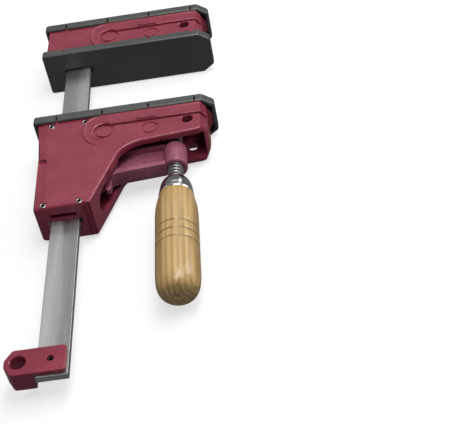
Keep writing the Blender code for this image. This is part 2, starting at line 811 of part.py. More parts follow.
def make_handle():
    top = ferrule_top + ferrule_length + seat_gap
    bore = tang_radius + seat_gap
    nose = [(bore, ferrule_top + ferrule_length * nose_shares[0][0])]
    nose += [(ferrule_radius * width, ferrule_top + ferrule_length * along) for along, width in nose_shares]
    nose.append((ferrule_radius * nose_shares[-1][1], top))
    body = [(handle_radius * width, top + handle_length * along) for along, width in handle_shares]
    middle = top + handle_length * burn_middle_share
    burns = []
    for number in range(burn_count):
        place = middle + burn_step * (number - (burn_count - 1) / 2)
        burns += [(handle_radius, place - burn_width / 2), (handle_radius - burn_depth, place),
                  (handle_radius, place + burn_width / 2)]
    body = sorted(body + burns, key=lambda point: point[1])
    dimple = handle_radius * handle_shares[-1][1] / 2
    end = top + handle_length
    profile = [(0, tang_end + seat_gap), (bore, tang_end + seat_gap)] + nose + body
    profile += [(dimple, end), (0, end - burn_depth)]
    turned("handle", profile, spindle_axis, handle_wood)


# End stop: a plate on the bar's upper flat with a thick block behind the bar, bored to hang it up
def make_stop(parent):
    bottom = -bar_reach + stop_end_gap
    top = bottom + stop_height
    right = bar_width - stop_short
    level = bar_thickness / 2 + seat_gap
    slant = stop_chamfer_height
    plate = rounded([(-stop_reach + stop_chamfer, bottom, stop_corner), (right, bottom, stop_corner),
                     (right, top, stop_corner), (-stop_reach + stop_chamfer, top, stop_corner),
                     (-stop_reach, top - slant, stop_corner), (-stop_reach, bottom + slant, stop_corner)])
    block = rounded([(-stop_reach + stop_chamfer, bottom, stop_corner), (-stop_end_gap, bottom, 0),
                     (-stop_end_gap, top, 0), (-stop_reach + stop_chamfer, top, stop_corner),
                     (-stop_reach, top - slant, stop_corner), (-stop_reach, bottom + slant, stop_corner)])
    stop = prism("end_stop", plate, level, level + stop_plate, parent, casting_paint)
    fuse(stop, prism("stop_block", block, -bar_thickness / 2 - stop_below, level + stop_plate, parent))
    hole_place = (-stop_reach + stop_hole_inset, (top + bottom) / 2)
    low = -bar_thickness / 2 - stop_below - overrun
    high = level + stop_plate + overrun
    cut(stop, prism("stop_hole", circle_points(*hole_place, stop_hole_radius), low, high, parent))
    pin_hole = circle_points(*stop_pin_place(), stop_pin_radius + seat_gap, round_steps // 2)
    cut(stop, prism("stop_pin_hole", pin_hole, 0, high, parent))
    roll_pin("stop_pin", *stop_pin_place(), -bar_thickness / 2 - seat_gap, level + stop_plate - stop_pin_sink,
             stop_pin_radius, parent)


for old in list(bpy.data.objects):
    bpy.data.objects.remove(old, do_unlink=True)

casting_paint = finish("casting_paint", (0.27, 0.055, 0.085), 0.38, 0.0)
arm_paint = finish("arm_paint", (0.20, 0.045, 0.10), 0.40, 0.0)
pad_plastic = finish("pad_plastic", (0.035, 0.04, 0.038), 0.55, 0.0)
bar_steel = finish("bar_steel", (0.36, 0.37, 0.37), 0.38, 1.0)
thread_steel = finish("thread_steel", (0.42, 0.43, 0.42), 0.35, 1.0)
bright_steel = finish("bright_steel", (0.75, 0.75, 0.75), 0.12, 1.0)
pin_steel = finish("pin_steel", (0.62, 0.60, 0.58), 0.30, 1.0)
spring_steel = finish("spring_steel", (0.25, 0.26, 0.28), 0.35, 1.0)
handle_wood = finish("handle_wood", (0.56, 0.36, 0.14), 0.42, 0.0)

# The clamp's own frame sits so that the middle of the whole object's underside is at the origin
middle_x = (tip_x - max(stop_reach, jaw_overhang)) / 2
middle_y = (fixed_depth - bar_reach) / 2
clamp_frame = carrier("clamp_frame", None, (-middle_x, -middle_y, jaw_width / 2))
fixed_face = carrier("fixed_face", clamp_frame, (0, fixed_depth, 0))
moving_face = carrier("moving_face", clamp_frame, (0, -opening, 0))
spindle_axis = carrier("spindle_axis", moving_face, (spindle_x, 0, 0))

make_bar(clamp_frame)
make_fixed_jaw(fixed_face, clamp_frame)
make_fixed_pads(fixed_face, clamp_frame)
make_stop(clamp_frame)
make_arm(moving_face)
make_housing(moving_face)
make_jaw_fittings(moving_face)
make_spindle()
make_ferrule()
make_handle()
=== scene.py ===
# Parallel bar clamp, lying on its side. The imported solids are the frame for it.
# Pieces are modelled in millimetres in the clamp's own frame and then set in the frame of the solids:
# x from the bar's rear edge to the jaw tips, y up the bar from a jaw's face, z across the jaws.
import math

import bmesh
import bpy
from mathutils import Matrix, Vector


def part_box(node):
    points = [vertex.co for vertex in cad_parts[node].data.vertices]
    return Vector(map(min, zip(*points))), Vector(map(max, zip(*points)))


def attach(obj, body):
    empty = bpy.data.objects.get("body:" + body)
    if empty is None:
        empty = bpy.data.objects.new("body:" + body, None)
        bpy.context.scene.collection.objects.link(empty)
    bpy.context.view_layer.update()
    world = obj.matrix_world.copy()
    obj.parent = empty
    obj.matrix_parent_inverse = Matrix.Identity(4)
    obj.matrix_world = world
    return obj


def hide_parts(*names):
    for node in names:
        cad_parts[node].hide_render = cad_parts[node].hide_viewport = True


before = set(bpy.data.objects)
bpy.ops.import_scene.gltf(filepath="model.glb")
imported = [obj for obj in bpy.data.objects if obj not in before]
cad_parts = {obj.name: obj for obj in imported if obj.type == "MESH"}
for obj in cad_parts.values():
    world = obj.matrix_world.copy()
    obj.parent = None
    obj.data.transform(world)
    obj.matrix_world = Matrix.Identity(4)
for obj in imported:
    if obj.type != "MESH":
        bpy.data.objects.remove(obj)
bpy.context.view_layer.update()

millimetre = 0.001
barLow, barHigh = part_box("bar")
clampOrigin = Vector((barLow.x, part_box("fixed_clamp_pad")[0].y, (barLow.z + barHigh.z) / 2))
jawFace = {
    "fixed": 0.0,
    "back": (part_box("fixed_back_pad")[1].y - clampOrigin.y) / millimetre,
    "moving": (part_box("moving_clamp_pad")[1].y - clampOrigin.y) / millimetre,
}
spindleLow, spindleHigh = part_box("spindle")
spindleX = ((spindleLow.x + spindleHigh.x) / 2 - clampOrigin.x) / millimetre
spindleCentre = Vector((clampOrigin.x + spindleX * millimetre, 0, clampOrigin.z))


# Modelling helpers

def onPlane(axis, a, b, level):
    return Vector({"Z": (a, b, level), "Y": (a, level, b), "X": (level, a, b)}[axis])


# A flat outline of corners (a, b, radius), each corner rounded by a vertex bevel
def addOutline(bm, corners, axis, level, steps):
    spots = [onPlane(axis, a, b, level) for a, b, radius in corners]
    verts = [bm.verts.new(spot) for spot in spots]
    bm.faces.new(verts)
    for i, vert in enumerate(verts):
        radius = corners[i][2]
        if radius:
            last = spots[i - 1] - spots[i]
            following = spots[(i + 1) % len(spots)] - spots[i]
            reach = radius / math.tan(last.angle(following) / 2)
            bmesh.ops.bevel(bm, geom=[vert], offset=reach, offset_type="OFFSET", segments=steps,
                profile=0.5, affect="VERTICES", clamp_overlap=False, material=-1)


def softenEdges(bm, width, segments=3, angle=35, choose=None, clamp=True):
    edges = [edge for edge in bm.edges if len(edge.link_faces) == 2
        and edge.calc_face_angle(0) > math.radians(angle) and (choose is None or choose(edge))]
    bmesh.ops.bevel(bm, geom=edges, offset=width, offset_type="OFFSET", segments=segments,
        profile=0.5, affect="EDGES", clamp_overlap=clamp, material=-1)
    return bm


def facesOut(bm):
    bmesh.ops.recalc_face_normals(bm, faces=bm.faces)
    return bm


# An outline with a thickness, its edges softened
def makeSlab(corners, low, high, axis="Z", edge=0.0, segments=3, steps=8):
    bm = bmesh.new()
    addOutline(bm, corners, axis, low, steps)
    grown = bmesh.ops.extrude_face_region(bm, geom=bm.faces[:], use_keep_orig=True)
    raised = [part for part in grown["geom"] if isinstance(part, bmesh.types.BMVert)]
    bmesh.ops.translate(bm, verts=raised, vec=onPlane(axis, 0, 0, high - low))
    facesOut(bm)
    if edge:
        softenEdges(bm, edge, segments)
    return bm


def boxCorners(left, right, low, high, radius=0.0):
    return [(left, low, radius), (right, low, radius), (right, high, radius), (left, high, radius)]


# A round bar along Z
def makeRound(x, y, radius, low, high, steps=48):
    bm = bmesh.new()
    bmesh.ops.create_cone(bm, cap_ends=True, segments=steps, radius1=radius, radius2=radius,
        depth=high - low, matrix=Matrix.Translation((x, y, (low + high) / 2)))
    return bm


# Turn geometry round the origin's Z or Y axis, with a rise along Y at each step
def spinAbout(bm, geom, axis, angle, steps, merge=False, rise=0.0):
    bmesh.ops.spin(bm, geom=geom, cent=(0, 0, 0), axis=onPlane(axis, 0, 0, 1), angle=angle,
        dvec=(0, rise, 0), steps=steps, use_merge=merge)


def weldAndMove(bm, move):
    bmesh.ops.remove_doubles(bm, verts=bm.verts, dist=1e-4)
    facesOut(bm)
    bmesh.ops.translate(bm, verts=bm.verts, vec=move)
    return bm


# A profile of (radius, depth) points turned round the spindle's axis
def makeTurned(profile, steps=96, closed=False):
    bm = bmesh.new()
    ring = [bm.verts.new((radius, -depth, 0)) for radius, depth in profile]
    pairs = list(zip(ring, ring[1:])) + ([(ring[-1], ring[0])] if closed else [])
    edges = [bm.edges.new(pair) for pair in pairs]
    spinAbout(bm, ring + edges, "Y", 2 * math.pi, steps, merge=True)
    return weldAndMove(bm, (spindleX, 0, 0))


# A smooth line through the points of a profile
def smoothLine(points, steps=6):
    line = []
    for i in range(len(points) - 1):
        before = Vector(points[max(i - 1, 0)])
        start, end = Vector(points[i]), Vector(points[i + 1])
        after = Vector(points[min(i + 2, len(points) - 1)])
        for step in range(steps):
            t = step / steps
            line.append(tuple(0.5 * (2 * start + (end - before) * t
                + (2 * before - 5 * start + 4 * end - after) * t * t
                + (3 * start - before - 3 * end + after) * t ** 3)))
    return line + [tuple(points[-1])]


def joinMeshes(*parts):
    whole = bmesh.new()
    for part in parts:
        carrier = bpy.data.meshes.new("carrier")
        part.to_mesh(carrier)
        part.free()
        whole.from_mesh(carrier)
        bpy.data.meshes.remove(carrier)
    return whole


def newObject(name, bm):
    mesh = bpy.data.meshes.new(name)
    bm.to_mesh(mesh)
    bm.free()
    piece = bpy.data.objects.new(name, mesh)
    bpy.context.scene.collection.objects.link(piece)
    return piece


def removeObject(thing):
    mesh = thing.data
    bpy.data.objects.remove(thing)
    bpy.data.meshes.remove(mesh)


# Cut tools from a piece or add them to it, in the order given, and leave a plain mesh
def shapeWith(piece, *steps):
    tools = []
    for operation, bm in steps:
        tool = newObject("tool", bm)
        tools.append(tool)
        step = piece.modifiers.new(operation, "BOOLEAN")
        step.operation = operation
        step.solver = "EXACT"
        step.object = tool
    bpy.context.view_layer.update()
    graph = bpy.context.evaluated_depsgraph_get()
    shaped = bpy.data.meshes.new_from_object(piece.evaluated_get(graph))
    plain = piece.data
    piece.modifiers.clear()
    piece.data = shaped
    bpy.data.meshes.remove(plain)
    for tool in tools:
        removeObject(tool)
    return piece


# Set a finished piece in the frame of the solids, shade it and let it ride on its body
def finishPiece(piece, face, body, nodes, finishes, smoothAngle=38, weighted=True):
    mesh = piece.data
    tidy = bmesh.new()
    tidy.from_mesh(mesh)
    bmesh.ops.remove_doubles(tidy, verts=tidy.verts, dist=1e-3)
    bmesh.ops.dissolve_degenerate(tidy, edges=tidy.edges, dist=1e-4)
    tidy.to_mesh(mesh)
    tidy.free()
    mesh.transform(Matrix.Translation(clampOrigin) @ Matrix.Scale(millimetre, 4)
        @ Matrix.Translation((0, face, 0)))
    mesh.shade_smooth()
    mesh.set_sharp_from_angle(angle=math.radians(smoothAngle))
    mesh.materials.clear()
    for finish in finishes:
        mesh.materials.append(finish)
    if weighted:
        weights = piece.modifiers.new("flat faces stay flat", "WEIGHTED_NORMAL")
        weights.keep_sharp = True
    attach(piece, body)
    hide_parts(*nodes)
    return piece


# Material helpers

# Inputs of a node, each a value or a socket to link from
def feed(finish, node, inputs):
    for socket, value in inputs.items():
        if isinstance(value, bpy.types.NodeSocket):
            finish.node_tree.links.new(value, node.inputs[socket])
        else:
            node.inputs[socket].default_value = value


def addNode(finish, kind, inputs=None, **settings):
    node = finish.node_tree.nodes.new(kind)
    for key, value in settings.items():
        setattr(node, key, value)
    feed(finish, node, inputs or {})
    return node


# Feed a finish's shader, with bumps of (height, strength, distance) laid one over the other
def dress(finish, inputs, *bumps):
    bump = {}
    for height, strength, distance in bumps:
        bump.update({"Height": height, "Strength": strength, "Distance": distance})
        bump["Normal"] = addNode(finish, "ShaderNodeBump", bump).outputs["Normal"]
        inputs["Normal"] = bump["Normal"]
    feed(finish, finish.node_tree.nodes["Principled BSDF"], inputs)
    return finish


def newFinish(name, inputs):
    finish = bpy.data.materials.new(name)
    finish.use_nodes = True
    return dress(finish, inputs)


# Object coordinates, stretched so that a pattern runs along an axis
def patternSpace(finish, scale=(1, 1, 1), place=(0, 0, 0)):
    coordinates = addNode(finish, "ShaderNodeTexCoord").outputs["Object"]
    return addNode(finish, "ShaderNodeMapping", {"Vector": coordinates, "Scale": scale,
        "Location": place}).outputs["Vector"]


def addNoise(finish, space, scale, detail=3.0, roughness=0.5, distortion=0.0):
    return addNode(finish, "ShaderNodeTexNoise", {"Vector": space, "Scale": scale, "Detail": detail,
        "Roughness": roughness, "Distortion": distortion}).outputs["Fac"]


def addRamp(finish, source, stops):
    ramp = addNode(finish, "ShaderNodeValToRGB", {"Fac": source})
    elements = ramp.color_ramp.elements
    while len(elements) < len(stops):
        elements.new(0.5)
    for element, (position, colour) in zip(elements, stops):
        element.position = position
        element.color = (*colour, 1)
    return ramp.outputs["Color"]


def addRange(finish, source, fromLow, fromHigh, toLow, toHigh):
    return addNode(finish, "ShaderNodeMapRange", {"Value": source, "From Min": fromLow,
        "From Max": fromHigh, "To Min": toLow, "To Max": toHigh}).outputs["Result"]


def addMath(finish, operation, *values):
    return addNode(finish, "ShaderNodeMath", dict(enumerate(values)), operation=operation).outputs[0]


def mixColours(finish, amount, first, second):
    return addNode(finish, "ShaderNodeMix", {0: amount, 6: first, 7: (*second, 1)},
        data_type="RGBA").outputs[2]


# Materials

# Enamel on a sand casting: a faint orange peel over a slightly uneven casting skin
def paintedCasting(name, tones, roughness):
    finish = newFinish(name, {"Roughness": roughness, "Specular IOR Level": 0.8,
        "Specular Tint": (1.0, 0.58, 0.64, 1)})
    space = patternSpace(finish)
    speck = addNoise(finish, space, 900, 2, 0.6)
    peel = addNoise(finish, space, 420, 3, 0.55)
    colour = addRamp(finish, addNoise(finish, space, 38, 4, 0.6),
        [(0.30, tones[0]), (0.52, tones[1]), (0.74, tones[2])])
    worn = addRange(finish, speck, 0.64, 0.84, 0.0, 0.14)
    shine = addRange(finish, peel, 0.3, 0.7, roughness - 0.07, roughness + 0.09)
    return dress(finish, {"Base Color": mixColours(finish, worn, colour, tones[3]), "Roughness": shine},
        (addNoise(finish, space, 55, 3, 0.5), 0.25, 0.0006), (peel, 0.07, 0.0001), (speck, 0.05, 0.00003))


def mouldedPlastic():
    finish = newFinish("padPlastic", {"Roughness": 0.5, "Specular IOR Level": 0.95})
    space = patternSpace(finish)
    grain = addNoise(finish, space, 1500, 3, 0.7)
    colour = addRamp(finish, addNoise(finish, space, 30, 3, 0.6),
        [(0.30, (0.040, 0.044, 0.041)), (0.72, (0.060, 0.065, 0.061))])
    dust = addRange(finish, grain, 0.60, 0.85, 0.0, 0.25)
    return dress(finish, {"Base Color": mixColours(finish, dust, colour, (0.10, 0.11, 0.105)),
        "Roughness": addRange(finish, grain, 0.3, 0.7, 0.27, 0.38)},
        (addNoise(finish, space, 18, 2, 0.5), 0.15, 0.0008), (grain, 0.25, 0.00005))


# Drawn flat steel, brushed along the bar
def brushedBar():
    finish = newFinish("barSteel", {"Roughness": 0.4, "Metallic": 1.0, "Anisotropic": 0.4})
    streaks = addNoise(finish, patternSpace(finish, (1, 0.012, 1)), 1500, 4, 0.65)
    wide = addNoise(finish, patternSpace(finish, (1, 0.05, 1)), 170, 3, 0.6)
    stain = addNoise(finish, patternSpace(finish), 26, 5, 0.65, 0.4)
    colour = addRamp(finish, streaks, [(0.25, (0.42, 0.425, 0.425)), (0.75, (0.57, 0.575, 0.57))])
    dull = addRange(finish, stain, 0.45, 0.75, 0.0, 0.45)
    bright = addRange(finish, wide, 0.4, 0.7, 0.0, 0.35)
    colour = mixColours(finish, dull, colour, (0.35, 0.355, 0.345))
    return dress(finish, {"Base Color": mixColours(finish, bright, colour, (0.65, 0.655, 0.65)),
        "Roughness": addRange(finish, streaks, 0.3, 0.7, 0.33, 0.5)},
        (streaks, 0.22, 0.00004), (stain, 0.10, 0.0003))


# Zinc on the crests, and painted shade darkening the thread's root
def zincThread():
    finish = newFinish("spindleSteel", {"Roughness": 0.34, "Metallic": 1.0})
    grime = addNoise(finish, patternSpace(finish), 240, 4, 0.65)
    fine = addNoise(finish, patternSpace(finish, (1, 0.25, 1)), 1400, 3, 0.6)
    colour = addRamp(finish, grime,
        [(0.24, (0.30, 0.31, 0.30)), (0.50, (0.55, 0.565, 0.55)), (0.78, (0.72, 0.73, 0.71))])
    fromAxis = addNode(finish, "ShaderNodeVectorMath", {0: patternSpace(finish, (1, 0, 1), -spindleCentre)},
        operation="LENGTH").outputs["Value"]
    # Painted shade: the colour darkens towards the spindle's axis, in the thread's root
    rootShade = addRange(finish, fromAxis, 0.0056, 0.0068, 0.85, 0.0)
    return dress(finish, {"Base Color": mixColours(finish, rootShade, colour, (0.09, 0.095, 0.085)),
        "Roughness": addRange(finish, grime, 0.3, 0.75, 0.46, 0.27)}, (fine, 0.25, 0.00004))


# Polished nickel with hair scratches round the ferrule
def polishedNickel():
    finish = newFinish("ferruleChrome", {"Roughness": 0.11, "Metallic": 1.0})
    scratches = addNoise(finish, patternSpace(finish, (0.06, 1, 0.06)), 1800, 3, 0.6)
    haze = addNoise(finish, patternSpace(finish), 120, 3, 0.6)
    colour = addRamp(finish, haze, [(0.3, (0.66, 0.66, 0.655)), (0.7, (0.80, 0.80, 0.79))])
    return dress(finish, {"Base Color": colour, "Roughness": addRange(finish, haze, 0.35, 0.75, 0.08, 0.17)},
        (scratches, 0.06, 0.00002))


def plainSteel(name, dark, light, roughness):
    finish = newFinish(name, {"Roughness": roughness, "Metallic": 1.0})
    mottle = addNoise(finish, patternSpace(finish), 300, 4, 0.6)
    turned = addNoise(finish, patternSpace(finish, (1, 1, 0.05)), 1600, 2, 0.5)
    return dress(finish, {"Base Color": addRamp(finish, mottle, [(0.3, dark), (0.7, light)]),
        "Roughness": addRange(finish, mottle, 0.3, 0.7, roughness + 0.08, roughness - 0.06)},
        (turned, 0.2, 0.00003))


# What lies over the wood's growth rings: streaks, a broad tint and pores,
# each with its stretch, its noise, the range of the noise that counts and its colour
woodLayers = (
    (0.022, (330, 3, 0.62), (0.50, 0.66, 0.0, 0.75), (0.33, 0.195, 0.065)),
    (0.08, (95, 3, 0.6), (0.35, 0.7, 0.0, 0.5), (0.49, 0.32, 0.13)),
    (0.05, (1900, 2, 0.5), (0.60, 0.72, 0.0, 0.45), (0.30, 0.165, 0.06)))


# Varnished hardwood with straight grain along the handle, and burned rings at the heights given
def varnishedWood(ringPlaces):
    finish = newFinish("handleWood", {"Roughness": 0.36, "Coat Weight": 0.4, "Coat Roughness": 0.2})
    heart = patternSpace(finish, (1, 0.035, 1), -spindleCentre - Vector((0.031, 0, 0.012)))
    growth = addNode(finish, "ShaderNodeTexWave",
        {"Vector": heart, "Scale": 66, "Distortion": 4.2, "Detail": 3, "Detail Scale": 1.4},
        wave_type="RINGS", rings_direction="Y", wave_profile="SIN").outputs["Fac"]
    colour = addRamp(finish, growth,
        [(0.00, (0.40, 0.245, 0.085)), (0.16, (0.48, 0.305, 0.110)),
        (0.40, (0.58, 0.380, 0.140)), (1.00, (0.65, 0.435, 0.170))])
    for stretch, noise, span, tone in woodLayers:
        pattern = addNoise(finish, patternSpace(finish, (1, stretch, 1)), *noise)
        colour = mixColours(finish, addRange(finish, pattern, *span), colour, tone)
    pores = pattern
    height = addNode(finish, "ShaderNodeSeparateXYZ", {"Vector": patternSpace(finish)}).outputs["Y"]
    burned = 0.0
    for ringY in ringPlaces:
        away = addMath(finish, "ABSOLUTE", addMath(finish, "SUBTRACT", height, ringY))
        burned = addMath(finish, "MAXIMUM", burned, addRange(finish, away, 0.0004, 0.0013, 1.0, 0.0))
    scorch = addNoise(finish, patternSpace(finish, (1, 0.3, 1)), 260, 3, 0.6)
    burned = addMath(finish, "MULTIPLY", burned, addRange(finish, scorch, 0.3, 0.62, 0.1, 0.8))
    return dress(finish, {"Base Color": mixColours(finish, burned, colour, (0.17, 0.085, 0.028)),
        "Roughness": addRange(finish, pores, 0.35, 0.7, 0.30, 0.44)},
        (growth, 0.12, 0.00012), (pores, 0.18, 0.00005))


jawPaint = paintedCasting("jawPaint", [(0.203, 0.024, 0.043), (0.248, 0.032, 0.056), (0.288, 0.042, 0.069),
    (0.42, 0.14, 0.18)], 0.27)
armPaint = paintedCasting("armPaint", [(0.235, 0.062, 0.098), (0.286, 0.084, 0.127), (0.330, 0.108, 0.155),
    (0.40, 0.20, 0.26)], 0.30)
padPlastic = mouldedPlastic()
barSteel = brushedBar()
spindleSteel = zincThread()
ferruleChrome = polishedNickel()
pinSteel = plainSteel("pinSteel", (0.42, 0.41, 0.40), (0.72, 0.71, 0.69), 0.27)
# Steel for the stop pin, its dark reddish colour painted shade of the recess that the pin sits in
recessShadedSteel = plainSteel("recessShadedSteel", (0.045, 0.030, 0.032), (0.13, 0.09, 0.095), 0.45)
springSteel = plainSteel("springSteel", (0.13, 0.14, 0.17), (0.27, 0.29, 0.33), 0.34)
print("materials made")


# The bar's sizes, which the pads and castings round it use too

barSize = {"width": 25.0, "thick": 6.0, "low": -396.0, "high": 46.0, "edge": 0.45,
    "stopPin": (11.7, -382.0), "stopHole": 2.8}


# Jaw pads: a plate with a lip all round that grips the casting

padSize = {"rear": -21, "tip": 149, "half": 23, "corner": 3, "tipAlong": 11, "tipAcross": 8,
    "plate": 4, "lip": 10.5, "wall": 2.7, "edge": 1.9, "bend": 3.5, "notch": 1.8, "notchDepth": 6.4,
    "firstNotch": 1.6, "notchStep": 43.3, "notches": 4, "insideEdge": 0.5,
    "slot": (-1.2, 26.2, -4.2, 4.2, 0.5), "window": (-3, 26, -4.3, 4.3, 0.8)}


def padOutline(inset):
    s = padSize
    slant = math.hypot(s["tipAlong"], s["tipAcross"])
    shrink = inset * (slant - s["tipAcross"] - s["tipAlong"])
    along = s["tipAlong"] + shrink / s["tipAcross"]
    across = s["tipAcross"] + shrink / s["tipAlong"]
    rear, tip, half = s["rear"] + inset, s["tip"] - inset, s["half"] - inset
    corner, bend = max(s["corner"] - inset, 0.9), max(s["bend"] - inset, 0.9)
    return [(rear, -half, corner), (tip - along, -half, bend), (tip, -half + across, bend),
        (tip, half - across, bend), (tip - along, half, bend), (rear, half, corner)]


def makePad(name, body, opening, face, turned=False):
    s = padSize
    pad = newObject(name, softenEdges(makeSlab(padOutline(0), -s["lip"], 0, "Y"), s["edge"], 4, clamp=False))
    inside = makeSlab(padOutline(s["wall"]), -s["lip"] - 4, -s["plate"], "Y", s["insideEdge"], 2)
    hole = makeSlab(boxCorners(*s[opening]), -s["plate"] - 1, 1, "Y")
    notches = []
    for side in (-1, 1):
        near, far = sorted((side * (s["half"] - s["wall"] - 1), side * (s["half"] + 1)))
        for number in range(s["notches"]):
            middle = s["firstNotch"] + s["notchStep"] * number
            corners = boxCorners(middle - s["notch"] / 2, middle + s["notch"] / 2,
                -s["lip"] - 2, -s["lip"] + s["notchDepth"], s["notch"] * 0.42)
            notches.append(makeSlab(corners, near, far, steps=4))
    shapeWith(pad, ("DIFFERENCE", inside), ("DIFFERENCE", hole), ("DIFFERENCE", joinMeshes(*notches)))
    if turned:
        pad.data.transform(Matrix.Rotation(math.pi, 4, "X"))
    return finishPiece(pad, face, body, [name], [padPlastic])


makePad("fixed_clamp_pad", "root", "slot", jawFace["fixed"], turned=True)
makePad("moving_clamp_pad", "moving_jaw", "slot", jawFace["moving"])
makePad("fixed_back_pad", "root", "window", jawFace["back"])
print("pads made")


# Castings: what both jaws share

castingSize = {"half": 20.0, "inside": 14.0, "seat": 4.3, "deck": 9.3, "tip": 141.5, "rear": -18.0,
    "flange": 9.3, "flangeTip": 146.0, "waist": 12.0, "waistRear": -16.3, "edge": 1.3,
    "tipChamfer": 6.0, "tipChamferSide": 9.0, "wall": 4.0, "hole": 5.0, "holeX": 123.7,
    "holeDepth": 31.5, "holeRim": 0.7, "through": 24.0}
reliefSize = {"height": 1.8, "start": 10.8, "drop": 25.2, "ringX": 47.0, "ringDepth": 33.8,
    "inner": 10.4, "outer": 19.0, "steps": 30, "edge": 0.4, "sink": 0.5, "rim": 1.2, "rimSlope": 1.3,
    "rimSink": 0.55, "lip": 1.5, "lipDrop": 0.65, "gutter": 1.5, "gutterGap": 0.12, "gutterDepth": 1.0,
    "boss": 7.2, "bossHeight": 0.35, "groove": 10.1, "smallX": 89.5, "smallDepth": 37.3, "small": 6.2,
    "smallGroove": 8.0, "grooveDepth": 1.0, "moundX": 86.5, "moundDepth": 23.0, "mound": 9.8,
    "moundHeight": 0.95, "moundEdge": 1.4}


def flangeCorners():
    s = castingSize
    return [(s["tip"], -s["waist"], 0), (s["flangeTip"], -s["flange"], 0), (s["flangeTip"], -s["seat"], 0),
        (s["rear"], -s["seat"], 0), (s["rear"], -s["flange"], 0), (s["waistRear"], -s["waist"], 0)]


# Take away all that lies outside a plane, and hand over the edges of the cut
def cutAway(bm, spot, normal):
    cut = bmesh.ops.bisect_plane(bm, geom=bm.verts[:] + bm.edges[:] + bm.faces[:], dist=1e-5,
        plane_co=spot, plane_no=normal, clear_outer=True)
    return [part for part in cut["geom_cut"] if isinstance(part, bmesh.types.BMEdge)]


def sliceOff(bm, spot, normal):
    bmesh.ops.contextual_create(bm, geom=cutAway(bm, spot, normal))


# Both flanks slope in towards the tip
def cutTipSlopes(bm):
    s = castingSize
    for side in (-1, 1):
        sliceOff(bm, (s["tip"] - s["tipChamfer"], 0, side * s["half"]),
            Vector((s["tipChamferSide"], 0, side * s["tipChamfer"])))


def makeCastingSlab(corners, edge, deepest=999, moreCuts=None):
    s = castingSize
    bm = makeSlab(corners, -s["half"], s["half"], steps=10)
    cutTipSlopes(bm)
    if moreCuts:
        moreCuts(bm)
    facesOut(bm)
    softenEdges(bm, s["edge"], 3, choose=lambda e: abs(e.verts[0].co.z - e.verts[1].co.z) > 12)

    # Edges of the flanks below the flange, and no deeper than asked
    def onFlank(e):
        depths = [-v.co.y for v in e.verts]
        return (s["waist"] + 1 < max(depths) < deepest + 0.1 and min(depths) > s["seat"] + 0.5
            and min(abs(f.normal.z) for f in e.link_faces) < 0.2)

    return softenEdges(bm, edge, 5, angle=30, clamp=False, choose=onFlank)


# A cone that takes the sharp edge off a hole's mouth
def makeRimTool(x, y, level, side, hole, rim):
    reach = rim + 0.6
    place = Matrix.Translation((x, y, level))
    if side < 0:
        place = place @ Matrix.Rotation(math.pi, 4, "X")
    bm = bmesh.new()
    bmesh.ops.create_cone(bm, cap_ends=True, segments=64, radius1=hole + rim - reach,
        radius2=hole + rim + reach, depth=2 * reach, matrix=place)
    return bm


def crossHole():
    s = castingSize
    reach = s["half"]
    shaft = makeRound(s["holeX"], -s["holeDepth"], s["hole"], -reach - 3, reach + 3, steps=64)
    rims = [makeRimTool(s["holeX"], -s["holeDepth"], side * reach, side, s["hole"], s["holeRim"])
        for side in (-1, 1)]
    return [("DIFFERENCE", shaft), ("DIFFERENCE", joinMeshes(*rims))]


# A profile swept along the pad, round the ring and back, fading out below it
def sweepRelief(side, profile, depthLimit, fade):
    s, c = reliefSize, castingSize
    base, wide = c["half"], s["outer"] - s["inner"]
    centre = Vector((s["ringX"], -s["ringDepth"], 0))
    lead = math.acos((s["ringDepth"] - s["drop"]) / s["inner"])
    bm = bmesh.new()
    addOutline(bm, [(s["inner"] + a, side * z, radius) for a, z, radius in profile], "Y", 0, 3)
    bmesh.ops.rotate(bm, verts=bm.verts, cent=(0, 0, 0), matrix=Matrix.Rotation(math.pi / 2 - lead, 3, "Z"))
    spinAbout(bm, bm.faces[:], "Z", math.pi + lead, s["steps"])
    # The half ring's outer side is drawn out to the pad's line
    rise = s["ringDepth"] - s["start"]
    for vert in bm.verts:
        away = math.hypot(vert.co.x, vert.co.y)
        way = Vector((vert.co.x, vert.co.y, 0)) / away
        inner, outer = way * s["inner"], way * s["outer"]
        if way.y > 1e-4 and way.x > 0:
            outer = Vector((inner.x, rise, 0))
        elif way.y > 1e-4:
            outer = Vector((-s["outer"] * abs(way.x) ** 0.62, rise * way.y ** 0.62, 0))
        across = (outer - inner).normalized()
        offset = away - s["inner"]
        flat = inner + across * offset if offset < wide / 2 else outer - across * (wide - offset)
        vert.co.x, vert.co.y = centre.x + flat.x, centre.y + flat.y
    # Its end is carried along the pad to the bend, and then down the tip's slope
    bend = c["tip"] - c["tipChamfer"]
    mitre = (math.hypot(c["tipChamfer"], c["tipChamferSide"]) - c["tipChamfer"]) / c["tipChamferSide"]
    slope = -side * c["tipChamferSide"] / c["tipChamfer"]
    endFace = max((f for f in bm.faces if len(f.verts) > 4), key=lambda f: f.calc_center_median().x)
    for run in ("straight", "sloped"):
        grown = bmesh.ops.extrude_face_region(bm, geom=[endFace])
        bmesh.ops.delete(bm, geom=[endFace], context="FACES_ONLY")
        endFace = next(part for part in grown["geom"] if isinstance(part, bmesh.types.BMFace))
        for vert in endFace.verts:
            over = abs(vert.co.z) - base
            reach = c["tipChamfer"] - s["height"] * mitre - 0.3
            if run == "straight":
                vert.co.x = bend + over * mitre
            else:
                vert.co += Vector((reach, 0, reach * slope))
    # The part that turns back below the ring sinks into the flank
    fadeStart = -s["ringDepth"] + 2.0
    for vert in bm.verts:
        if vert.co.x < s["ringX"] + 2 and vert.co.y < fadeStart:
            share = min(1, (fadeStart - vert.co.y) / (s["outer"] + 2)) ** 1.6
            vert.co.z = side * fade(abs(vert.co.z), share)
    if depthLimit < s["ringDepth"] + s["outer"]:
        sliceOff(bm, (0, -depthLimit, 0), Vector((0, -1, 0)))
    return facesOut(bm)


